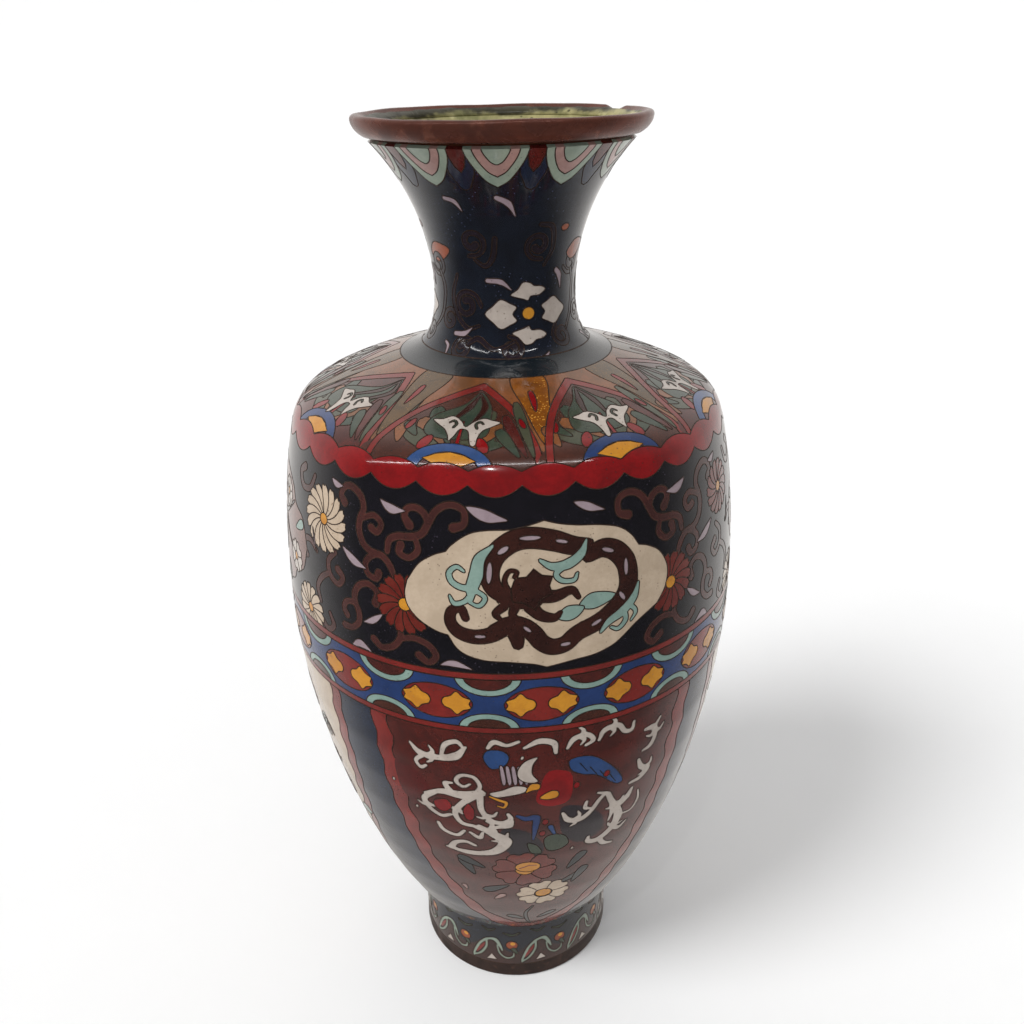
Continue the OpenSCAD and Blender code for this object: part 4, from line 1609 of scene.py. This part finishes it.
    def dragon(self, d: Drawing) -> None:
        """The pale lobed reserve with the dragon and its flames."""
        edge: list[Flat] = []
        for lobe in self.cartouche:
            edge += Shape.spline(list(lobe), steps=5)[:-1]
        d.cell(edge, Paint.CREAM)
        d.blob(
            [(14.6, 159.2), (17, 161.8), (20.8, 161.6), (23.4, 160.2), (20.4, 158.6), (17.4, 158)],
            Paint.TEAL,
        )
        d.blob([(9.8, 157.2), (12, 159.6), (15.8, 159.0), (14.4, 156.8), (12, 156)], Paint.TEAL)
        for line, widths in self.body:
            d.stroke(list(line), [w * 1.16 for w in widths], Paint.UMBER)
        head = [
            (-4.4, 0.6), (-3.4, 3), (-1, 3.2), (0.6, 5), (2.4, 3.4), (4.8, 3), (4, 0.8), (4.6, -1),
            (2, -2.4), (0.8, -4.8), (-1.6, -3), (-4.2, -2.6),
        ]
        d.put(head, Paint.UMBER, Spot(4.4, 164.2))
        for line, widths in self.flames:
            d.stroke(list(line), list(widths), Paint.TEAL)
        spots = (
            (-4.4, 168.4, 0.7, 2.6, -4),
            (-1.4, 173.6, 1.5, 0.7, 35),
            (4.4, 176.2, 2.4, 0.6, 0),
            (11.2, 174.9, 1.5, 0.5, -14),
            (21.6, 171.3, 1.6, 0.6, -22),
            (25.9, 166.4, 0.6, 2.2, 0),
            (24.8, 159.6, 0.6, 1.4, 32),
            (18.6, 154.4, 1.5, 0.55, 24),
            (11.6, 150.2, 1.3, 0.55, 4),
            (3.4, 154.8, 1.2, 0.5, -40),
            (-6.6, 153.0, 1.4, 0.5, 2),
        )
        for turn, s, rx, ry, angle in spots:
            d.put(Shape.round(0, 0, rx, ry, 14), Paint.LILAC, Spot(turn, s, angle))

    def side_reserve(self, d: Drawing) -> None:
        """A fan of rosy brown with a flowering branch, on the vase's side."""
        edge: list[Flat] = []
        for k in (0, 1, 2, 3):
            sign_x, sign_y = (1, 1, -1, -1)[k], (1, -1, -1, 1)[k]
            lobe = [(0, 16.4), (9, 15.6), (16.5, 13), (19.5, 9), (24.5, 6.6), (27, 0)]
            part = [(x * sign_x, 162.2 + y * sign_y) for x, y in lobe]
            edge += Shape.spline(part if k in (0, 2) else part[::-1], steps=4)[:-1]
        d.cell(edge, Paint.DUSK)
        d.stroke(
            [(-18, 152), (-8, 156), (0, 163), (9, 165), (18, 171)], [2.0, 1.9, 1.5, 1.2, 0.7],
            Paint.UMBER,
        )
        d.stroke([(-6, 157), (-7, 163), (-12, 169)], [1.3, 1.2, 0.7], Paint.UMBER)
        d.stroke([(8, 165), (13, 160), (19, 157)], [1.2, 1.0, 0.6], Paint.UMBER)
        for turn, s, r in (
            (-12, 170, 4.6), (0, 170.5, 5.0), (12, 171.4, 4.0), (19.5, 157, 4.2), (-16, 159, 3.8),
            (5, 157, 4.4),
        ):
            d.flower(Spot(turn, s, turn * 9), r, 5, Paint.WHITE, Paint.YELLOW, 0, 0.12, 0.26)
        for turn, s, angle in (
            (-20, 165, 60), (20, 165, -60), (-2, 152, 170), (10, 151.5, 200), (-8, 176, 40),
        ):
            d.put(Shape.petal(5.5, 2.6), Paint.TEAL, Spot(turn, s, angle))

    def scallop(self, d: Drawing) -> None:
        """The red band that rolls over the shoulder's edge, lobed above and below."""
        d.part = "scallop"
        gap = 360 / self.lobes
        top, bottom = [], []
        for turn in np.arange(-d.SEAM, d.SEAM + 0.1, 0.25).tolist():
            t = ((turn + self.phase) / gap) % 1
            arch = 1 - (2 * t - 1) ** 2
            bottom.append((turn, self.scallop_low - self.droop * arch))
            top.append((turn, self.scallop_high + self.rise * arch))
        d.wavy(bottom, top, Paint.RED)

    def shoulder(self, d: Drawing) -> None:
        """The tented shoulder: red ribs, leaves, butterflies and half suns, eight times round."""
        d.part = "shoulder"
        d.ring(self.ring_low, d.high + 1, Paint.OLIVE)
        units = self.round_off(self.units, self.total)
        peaks = [*self.peaks, *units[len(self.peaks) :]]
        after = [(a + b) / 2 for a, b in zip(units, [*units[1:], units[0] + 360])]
        after[: len(self.valleys)] = self.valleys
        before = [after[-1] - 360, *after[:-1]]
        for i, (unit, peak) in enumerate(zip(units, peaks)):
            self.tent(d, unit, peak, before[i], after[i], i)

    def tent(self, d: Drawing, unit: float, peak: float, left: float, right: float, number: int) -> None:
        """One eighth of the shoulder.

        Args:
            d: the drawing.
            unit: the middle of the half sun and the butterfly, in degrees.
            peak: the top of the tent.
            left, right: the feet of the ribs on either side.
            number: its place in the row.
        """
        rise = ((217.0, 0.0), (213.6, 0.3), (208.7, 0.6), (203.3, 0.79), (197.0, 0.9), (191.0, 0.94))
        ribs = [[(peak + (foot - peak) * x, s) for s, x in rise] for foot in (left, right)]
        d.blob([*ribs[0][::-1], *ribs[1][1:]], Paint.BROWN if number % 3 else Paint.GROUND, False)
        leaf = Shape.petal(15.0, 4.4)
        for i, angle in enumerate((-64, -47, -31, 31, 47, 64)):
            paint = (Paint.LEAF, Paint.OLIVE, Paint.MOSS)[i % 3]
            d.put(leaf, paint, Spot(unit, 193.5, angle, 1.0 if abs(angle) > 40 else 1.12))
        d.blob(
            [
                (peak, 214.6), (peak - 4.5, 210), (unit - 9, 205), (unit - 8, 199), (unit + 7, 199),
                (unit + 9, 205), (peak + 4.5, 210),
            ],
            Paint.LEAF,
        )
        for k in (-1, 1):
            d.stroke(
                [(peak, 214), (peak + 2.6 * k, 209), (unit + 3.5 * k, 203)], [0.4, 1.6, 0.5],
                Paint.UMBER,
            )
            d.put(Shape.petal(6.5, 3.4), Paint.OLIVE, Spot(unit + 15 * k, 196, -k * 18))
            d.put(Shape.petal(5.5, 2.6), Paint.LEAF, Spot(unit + 11 * k, 198.5, -k * 48))
            d.put(Shape.round(0, 0, 1.3, 2.4, 14), Paint.RED, Spot(unit + 7.5 * k, 196.9, k * 25))
            d.put(Shape.round(0, 0, 0.8, 1.9, 12), Paint.RED, Spot(unit + 14.5 * k, 201.6, k * 12))
        d.stroke([(unit + 1, 204), (unit + 1, 197)], [0.5, 1.0], Paint.RED)
        for foot, rib in zip((left, right), ribs):
            d.stroke(rib, [2.3, 2.3, 2.0, 1.7, 1.5, 1.3], Paint.BRICK)
        base = self.sun_base
        sun = [(math.cos(a), math.sin(a)) for a in np.linspace(0, math.pi, 19)]
        for wide, tall, paint in (
            (11.0, 7.6, Paint.SKY if number % 2 else Paint.BLUE), (7.6, 5.2, Paint.GROUND),
        ):
            d.cell([(unit + wide * x, base + tall * y) for x, y in sun], paint)
        fan = [
            (-6.6, 3.2), (-3.4, 4.6), (0, 5.2), (3.4, 4.6), (6.6, 3.2), (3.0, 1.8), (0, 0.4),
            (-3.0, 1.8),
        ]
        d.cell([(unit + x, base + y) for x, y in fan], Paint.YELLOW)
        self.butterfly(d, Spot(unit + 2.0, 197.4, 0, 1.0, bool(number % 2)))
        for k in (-1, 1):
            for lean, long, paint in ((9, 17, Paint.MOSS), (20, 13, Paint.GROUND), (31, 9, Paint.LEAF)):
                d.put(Shape.petal(long, 3.0), paint, Spot(right + k * (1.0 + lean * 0.16), 194, -k * lean))
            d.put(Shape.round(0, 0, 0.7, 1.7, 12), Paint.RED, Spot(right + 4.2 * k, 203.5, -k * 16))
        mid = right + 1.0
        d.blob(
            [
                (mid - 7.5, d.high + 0.4), (mid + 8.5, d.high + 0.4), (mid + 5.5, 210),
                (mid + 0.6, 196), (mid - 4.0, 209),
            ],
            Paint.AMBER if number % 4 == 1 else Paint.BRONZE,
        )
        d.blob([(mid - 1.2, 214), (mid + 0.8, 214.6), (mid + 1.2, 211), (mid - 0.4, 207)], Paint.RED)

    @staticmethod
    def butterfly(d: Drawing, at: Spot) -> None:
        """A white butterfly with curled wings and a forked tail."""
        wings = (
            [
                (0, 5.0), (1.2, 6.6), (3.0, 7.9), (4.6, 8.1), (6.4, 7.0), (8.9, 6.6), (7.0, 5.2),
                (4.9, 3.9), (3.5, 1.9), (2.9, 0.4),
            ],
            [
                (1.9, 2.2), (1.3, 4.0), (0, 4.2), (-1.0, 3.4), (-1.6, 1.0), (-2.2, -0.7), (-3.2, -0.6),
                (-3.4, 1.6), (-4.3, 3.9),
            ],
            [(-6.4, 5.2), (-8.6, 6.6), (-6.4, 7.3), (-4.6, 7.9), (-2.8, 7.4), (-1.2, 6.2)],
        )
        d.put(Shape.spline([p for part in wings for p in part], closed=True, steps=3), Paint.WHITE, at)
        for k in (1, -1):
            eye = Shape.stroke(
                [(k * 2.9, 4.6), (k * 2.4, 5.9), (k * 3.4, 6.7), (k * 4.3, 6.0)], [0.6, 0.6, 0.6, 0.4],
                3,
            )
            d.put(eye, Paint.LEAF, at)


@dataclass
class Neck(Band):
    """The dark neck with its four-petalled flowers, and the collar of hanging lappets."""

    lappets: int = 11
    first: float = -2.5
    flowers: tuple[float, ...] = (18.0, 138.0, 258.0)
    commas: tuple[tuple[float, float, float, float, float], ...] = (
        (-33.5, 264.6, -24.5, 261.5, 1.3),
        (-3.5, 265, 7, 260.3, 1.5),
        (-13, 245, 5, 242.8, 1.3),
        (42, 246.5, 48, 242, 1.4),
        (-40.5, 232, -26, 233.8, 1.3),
        (18, 226, 30, 227.5, 1.3),
        (51, 225.5, 65, 226.5, 1.2),
        (-48, 229.6, -43, 226.2, 0.9),
    )

    def build(self) -> None:
        """Draws the slate band, the neck and the collar, and makes their enamel."""
        band = self.drawing("slate_enamel")
        band.part = "slate"
        band.ring(band.low - 1, band.high + 1, Paint.SLATE)
        Inlay(band, self.palette).build("slate", "slate", "slate_glaze", "slate_enamel")
        d = self.drawing("neck_enamel", "collar_enamel")
        d.part = "neck"
        d.ring(d.low - 1, d.high + 1, Paint.NAVY)
        for turn in self.flowers:
            d.origin = turn - 18.0
            self.blossom(d)
        self.collar(d)
        inlay = Inlay(d, self.palette)
        inlay.build("neck", "neck", "navy_enamel", "neck_enamel")
        inlay.build("collar", "collar", "sage_enamel", "wire_collar", "collar_enamel")

    def blossom(self, d: Drawing) -> None:
        """A four-petalled flower with the commas, scrolls and leaves about it."""
        curls = (
            (-31, 239, 3.6, 0, 1.3),
            (-32, 228.6, 2.9, 60, 1.2),
            (4, 229, 2.9, 100, -1.2),
            (-48, 235, 2.6, 30, 1.2),
            (46, 231, 2.9, 120, 1.3),
            (-22, 254, 3.4, 250, 1.2),
            (24, 253, 3.4, 290, -1.2),
            (60, 248, 3.2, 200, 1.2),
        )
        for turn, s, r, angle, turns in curls:
            d.curl(Spot(turn, s, angle), r + 0.2, turns, [0.9, 1.2, 1.3, 1.8], Paint.PLUM)
        for line in (
            [(-20, 234.4), (-30, 233.6), (-40, 236.6), (-44, 241), (-38, 246)],
            [(7, 231), (-8, 229), (-20, 231.4), (-28, 230)],
            [(30, 248), (36, 252), (33, 257), (24, 258)],
            [(-22, 250), (-14, 248.4), (-8, 250.6), (-6, 255)],
            [(52, 232), (62, 236), (66, 242), (62, 246)],
        ):
            d.stroke(line, [0.6, 1.0, 1.2, 1.0, 0.6][: len(line)], Paint.PLUM)
        for turn, s, rx, ry, k in ((-3.5, 237.2, 3.5, 3.2, 1), (41, 237.2, 3.4, 3.0, -1)):
            shape = [
                (-rx, 0), (-rx * 0.5, ry * 0.55), (0, ry), (rx * 0.55, ry * 0.75), (rx, ry * 0.45),
                (rx * 0.74, 0),
            ]
            shape += [(rx, -ry * 0.45), (rx * 0.55, -ry * 0.75), (0, -ry), (-rx * 0.5, -ry * 0.55)]
            d.put(
                Shape.spline([(k * x, y) for x, y in shape], closed=True, steps=3), Paint.WHITE,
                Spot(turn, s, 0, 1.08),
            )
        for s, k in ((242.2, 1), (232.2, -1)):
            shape = [
                (-3.9, -0.6), (-2.4, 0.6), (-1.2, 2.1), (0.4, 1.9), (1.4, 1.2), (3.0, 1.0), (4.1, 0.2),
                (2.6, -0.9), (0.6, -1.0), (0, -1.9),
            ]
            shape += [(-1.2, -1.5)]
            d.put(
                Shape.spline([(x, k * y) for x, y in shape], closed=True, steps=3), Paint.WHITE,
                Spot(18, s, 0, 1.08),
            )
        d.put(Shape.round(0, 0, 1.55, 1.5, 16), Paint.YELLOW, Spot(18, 237.2))
        for x0, s0, x1, s1, w in self.commas:
            mid = ((x0 + x1) / 2 + 1.0, (s0 + s1) / 2 + (0.8 if s1 < s0 else -0.6))
            d.stroke([(x0, s0), mid, (x1, s1)], [w * 0.9, w * 1.1, 0.35], Paint.LILAC)
        leaf = [(-4, 0), (-1, 2.4), (2.5, 1.8), (4.6, 0.4), (2, -1.6), (-1.5, -2.2)]
        d.put(Shape.spline(leaf, closed=True, steps=4), Paint.ORANGE, Spot(-56, 250.6, 8))
        d.put(Shape.round(0, 0, 1.3, 0.9, 10), Paint.ORANGE, Spot(44, 256.6))

    def collar(self, d: Drawing) -> None:
        """The ring of hanging lappets under the rim, with red wedges and blue points between."""
        step = 360 / self.lappets
        top = d.high + 1
        d.part = "collar"
        for i in range(self.lappets):
            d.origin = self.first + (i + 0.5) * step
            d.cell(
                [(-8, top), (8, top), (6, 271), (2.6, 267.4), (0, 266.8), (-2.6, 267.4), (-6, 271)],
                Paint.INDIGO,
            )
            d.cell([(-5, top), (5, top), (2.4, 273), (0, 271.4), (-2.4, 273)], Paint.MAROON)
        for i in range(self.lappets):
            d.origin = self.first + i * step
            for paint, half, tip in (
                (Paint.SAGE, 13.2, 267.6), (Paint.PINK, 9.6, 270.3), (Paint.SAGE, 5.8, 273.4),
            ):
                tall = top - tip
                side = [(half, 1.0), (half * 0.93, 0.7), (half * 0.72, 0.4), (half * 0.4, 0.14), (0, 0)]
                right = [(x, tip + y * tall) for x, y in side]
                d.cell(
                    Shape.spline(right, steps=5) + Shape.spline(
                        [(-x, s) for x, s in right[::-1]], steps=5,
                    )[1:],
                    paint,
                )


# ---------------------------------------------------------------- metal and inside


def lathe(name: str, section: np.ndarray, paint: bpy.types.Material) -> bpy.types.Object:
    """Turns sections round the axis into one closed piece.

    Args:
        name: the piece's name.
        section: for each step round the axis, a closed ring of (radius, height) points in metres.
        paint: its material.
    Returns:
        The new object.
    """
    n, m = section.shape[:2]
    a = 2 * np.pi * np.arange(n)[:, None] / n
    verts = np.stack([section[:, :, 0] * np.sin(a), -section[:, :, 0] * np.cos(a), section[:, :, 1]], 2)
    i, j = np.meshgrid(np.arange(n), np.arange(m), indexing="ij")
    ii, jj = (i + 1) % n, (j + 1) % m
    faces = np.stack([i * m + j, ii * m + j, ii * m + jj, i * m + jj], 2).reshape(-1, 4)
    mesh = bpy.data.meshes.new(name)
    mesh.from_pydata(verts.reshape(-1, 3).tolist(), [], faces.tolist())
    mesh.shade_smooth()
    mesh.materials.append(paint)
    return add(mesh)


@dataclass
class Rim:
    """The copper lip: a flared flange that ends in a narrow roll, with a knock at the back.

    The dent is dent_wide degrees to each side of dent_at. The top bent millimetres of the lip take it,
    along with a slight wobble all round.
    """

    palette: Palette
    roll: float = 1.05
    dent_at: float = 122.5
    dent_wide: float = 7.0
    dent_deep: float = 1.5
    dent_in: float = 0.45
    wobble: float = 0.07
    sink: float = 0.112
    bent: float = 2.4
    around: int = 480

    def section(self) -> np.ndarray:
        """The closed section of the lip, in millimetres, clockwise from the foot of its outside."""
        low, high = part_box("rim_roll")
        out, top, foot = high.x / MM, high.z / MM, low.z / MM
        cx, cz = out - self.roll, top - self.roll
        outside = [
            (out - 2.6, foot), (out - 1.7, foot + 0.6), (out - 0.85, foot + 1.45),
            (out - 0.25, foot + 2.5),
        ]
        lip = Shape.arc(cx, cz, self.roll, self.roll, -15, 140, 14)
        inside = [(cx - 1.35, cz + 0.35), (cx - 2.4, cz - 0.6), (cx - 3.4, cz - 1.5)]
        end = [(cx - 2.9, cz - 2.15), (cx - 2.2, cz - 2.9)]
        return np.array([*Shape.spline([*outside, lip[0]], steps=3)[:-1], *lip, *inside, *end])

    def build(self) -> None:
        """Makes the lip and knocks the dent into it."""
        base = self.section()
        rings = np.repeat(base[None], self.around, 0)
        turn = np.degrees(2 * np.pi * np.arange(self.around) / self.around)
        off = (turn - self.dent_at + 180) % 360 - 180
        knock = self.dent_deep * np.maximum(0, 1 - abs(off) / self.dent_wide) ** 1.2
        waves = np.sin(np.radians(5 * turn) + 0.7) + 0.6 * np.sin(np.radians(11 * turn))
        soft = self.wobble * waves - self.sink
        share = np.clip((base[:, 1] - base[:, 1].max() + self.bent) / self.bent, 0, 1)
        rings[:, :, 1] += (soft - knock)[:, None] * share[None]
        rings[:, :, 0] -= (self.dent_in * knock)[:, None] * share[None]
        mount(lathe("rim", rings * MM, self.palette.get(Paint.RIM)), "rim_copper", "rim_roll")
        log.info("rim: %d sections", self.around)


@dataclass
class Lining:
    """The counter enamel inside, and its ragged edge on the inner face of the lip."""

    palette: Palette
    around: int = 360
    thick: float = 0.3
    waves: tuple[tuple[float, int, float], ...] = ((0.16, 9, 0.0), (0.12, 23, 1.0), (0.08, 41, 0.0))
    lowered: float = 0.2

    def build(self) -> None:
        """Dresses the CAD lining and runs the enamel up to the lip."""
        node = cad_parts["lining"]
        node.data.materials.clear()
        node.data.materials.append(self.palette.get(Paint.LIME))
        _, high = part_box("rim_roll")
        out, top = high.x / MM, high.z / MM
        slope = np.array([(out, top)]) - np.array([(4.6, 2.62), (3.7, 1.82), (2.75, 0.98), (2.45, 0.72)])
        normal, along = np.array([-0.64, 0.77]), np.array([0.77, 0.64])
        face = slope + normal * np.array([[0.25], [self.thick], [self.thick], [0.05]])
        back = slope[::-1] - normal * self.thick
        ring = np.concatenate([face, back])
        rings = np.repeat(ring[None], self.around, 0)
        turn = 2 * np.pi * np.arange(self.around) / self.around
        ragged = sum(high * np.sin(n * turn + start) for high, n, start in self.waves) - self.lowered
        rings[:, 2:6] += (ragged[:, None, None] * along) * np.array([0.4, 1, 1, 0.4])[None, :, None]
        mount(lathe("lining_lip", rings * MM, self.palette.get(Paint.LIME)), "lime_glaze")
        log.info("lining: dressed")


@dataclass
class Metalwork:
    """The CAD pieces that stay as they are: copper sheets, ring wires, foot band, seam and under-enamel."""

    palette: Palette

    def build(self) -> None:
        """Gives each shown CAD node its finish."""
        for name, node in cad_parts.items():
            if node.hide_render or name == "lining":
                continue
            if name.startswith("wire_") or name in ("foot_wire", "foot_seam"):
                paint = Paint.WIRE
            elif name == "foot_band":
                paint = Paint.BAND
            elif name == "under_enamel":
                paint = Paint.UNDER
            else:
                paint = Paint.SHEET
            node.data.materials.clear()
            node.data.materials.append(self.palette.get(paint))
            log.info("%s: %s", name, paint.name.lower())


@dataclass
class Studio:
    """The camera, the lights and the floor."""

    eye: tuple[float, float, float] = (0.0, -0.2371, 0.2614)
    down: float = 0.4473
    roll: float = 0.0182
    lens: float = 33.51
    shift: float = 0.003
    card_size: float = 0.17
    card_high: float = 0.0004
    card_power: float = 0.5
    sky_power: float = 0.56
    room_power: float = 0.75
    room_least: float = 0.06
    sun_from: tuple[float, float, float] = (-0.9, -0.55, 1.25)
    sun_power: float = 2.0
    sun_wide: float = 22.0
    strip_at: tuple[float, float, float] = (-0.8, -0.5, 1.15)
    strip_size: Flat = (3.0, 0.025)
    strip_power: float = 5.0
    lamp_at: tuple[float, float, float] = (-0.12, -0.6, 0.95)
    lamp_size: Flat = (0.02, 0.02)
    lamp_power: float = 0.35
    middle: tuple[float, float, float] = (0.0, 0.0, 0.12)

    def camera(self) -> None:
        """Stands the camera above and in front of the vase."""
        data = bpy.data.cameras.new("camera")
        data.sensor_width, data.lens, data.shift_x = 36.0, self.lens, self.shift
        data.clip_start = 0.01
        made = bpy.data.objects.new("camera", data)
        tilt = Matrix.Rotation(math.pi / 2 - self.down, 4, "X") @ Matrix.Rotation(-self.roll, 4, "Z")
        made.matrix_world = Matrix.Translation(self.eye) @ tilt
        bpy.context.scene.collection.objects.link(made)
        bpy.context.scene.camera = made

    def light(self, name: str, at: Vector, aim: Vector, size: Flat, power: float) -> bpy.types.Object:
        """Adds one soft rectangular light.

        Args:
            name: its name.
            at: where it hangs.
            aim: the point it faces.
            size: its width and height.
            power: its power in watts.
        Returns:
            The new lamp.
        """
        data = bpy.data.lights.new(name, "AREA")
        data.shape = "RECTANGLE"
        data.size, data.size_y = size
        data.energy = power
        made = bpy.data.objects.new(name, data)
        made.matrix_world = Matrix.Translation(at) @ (aim - at).to_track_quat(
            "-Z", "Y",
        ).to_matrix().to_4x4()
        bpy.context.scene.collection.objects.link(made)
        return made

    def sun(self) -> None:
        """Adds the broad window light; it has no picture of its own in the glaze."""
        data = bpy.data.lights.new("window", "SUN")
        data.energy, data.angle = self.sun_power, math.radians(self.sun_wide)
        made = bpy.data.objects.new("window", data)
        made.rotation_euler = Vector(self.sun_from).to_track_quat("Z", "Y").to_euler()
        made.visible_glossy = False
        bpy.context.scene.collection.objects.link(made)

    def paper(self, name: str, path: list[Flat], material: bpy.types.Material) -> bpy.types.Object:
        """A sheet swept 8 m wide along a line of (y, z) points."""
        wide = 4.0
        verts = [(x, y, z) for y, z in path for x in (-wide, wide)]
        faces = [(2 * i, 2 * i + 1, 2 * i + 3, 2 * i + 2) for i in range(len(path) - 1)]
        mesh = bpy.data.meshes.new(name)
        mesh.from_pydata(verts, [], faces)
        mesh.shade_smooth()
        mesh.materials.append(material)
        made = add(mesh)
        return made

    def floor(self) -> None:
        """Lays a pale floor that curves up far behind the vase."""
        deep, rise, n = 1.6, 1.2, 16
        path = [(-2.5, 0.0), (deep - rise, 0.0)]
        for i in range(1, n + 1):
            a = math.pi / 2 * i / n
            path.append((deep - rise + rise * math.sin(a), rise - rise * math.cos(a)))
        path.append((deep, 3.0))
        sh = Shader("paper")
        fibre = sh.noise(35.0, 3.0)
        sh.set(Base_Color=sh.mix(fibre * 0.3, ink("f6f6f6"), ink("f0f0f0")), Roughness=0.7 + fibre * 0.1)
        self.paper("floor", path, sh.material).visible_glossy = False

    def card(self) -> None:
        """A glowing disc on the floor that only the glaze sees, brightest beside the foot."""
        sh = Shader("card")
        n = 64
        edge = [(x, y, self.card_high) for x, y in Shape.round(0, 0, self.card_size, n=n)]
        mesh = bpy.data.meshes.new("card")
        mesh.from_pydata(edge, [], [list(range(n))])
        length = sh.node("ShaderNodeVectorMath", {"operation": "LENGTH"}, {"Vector": sh.coords})
        fade = 1.0 - Sock(sh.tree, length.outputs["Value"]).ramp(0.04, self.card_size)
        sockets = {"Color": ink("fbf6f0"), "Strength": self.card_power}
        glow = sh.sock("ShaderNodeEmission", 0, sockets)
        clear = sh.sock("ShaderNodeBsdfTransparent", 0, {})
        sh.mix_shaders(fade * fade, clear, glow, "Material Output")
        mesh.materials.append(sh.material)
        made = add(mesh)
        made.visible_camera = made.visible_diffuse = False
        made.visible_shadow = made.visible_transmission = False

    def sky(self) -> None:
        """Even light all round; what shines in the glaze is a dim room with pale walls behind."""
        world = bpy.data.worlds.new("studio")
        world.use_nodes = True
        nodes = Nodes(world.node_tree)
        white = {"Color": (1.0, 1.0, 1.0, 1.0), "Strength": self.sky_power}
        base = nodes.sock("ShaderNodeBackground", 0, white)
        way = nodes.sock("ShaderNodeTexCoord", "Generated", {})
        back = nodes.sock("ShaderNodeSeparateXYZ", "Y", {0: way}).ramp(-0.35, 0.8)
        warm = {"Color": (1.0, 0.97, 0.94, 1.0), "Strength": back * self.room_power + self.room_least}
        room = nodes.sock("ShaderNodeBackground", 0, warm)
        shine = nodes.sock("ShaderNodeLightPath", "Is Glossy Ray", {})
        nodes.mix_shaders(shine, base, room, "World Output")
        bpy.context.scene.world = world

    def build(self) -> None:
        """Sets the whole studio up."""
        self.camera()
        self.floor()
        self.card()
        self.sky()
        self.sun()
        strip = Vector(self.strip_at)
        under = strip - Vector((0, 0, 1))
        made = self.light("strip", strip, under, self.strip_size, self.strip_power)
        made.visible_diffuse = False
        self.light("lamp", Vector(self.lamp_at), Vector(self.middle), self.lamp_size, self.lamp_power)
        bpy.context.scene.view_settings.view_transform = "Standard"


def main() -> None:
    """Builds the vase and its studio, piece by piece."""
    logging.basicConfig(level=logging.INFO, format="%(name)s: %(message)s")
    palette = Palette()
    outline = Outline()
    log.info("outline: %d rings, %.1f mm long", len(outline.s), outline.s[-1])
    FootVine(outline, palette).build()
    LowerPanels(outline, palette).build()
    Belt(outline, palette).build()
    UpperBody(outline, palette).build()
    Neck(outline, palette).build()
    Rim(palette).build()
    Lining(palette).build()
    Metalwork(palette).build()
    Studio().build()


if __name__ == "__main__":
    main()
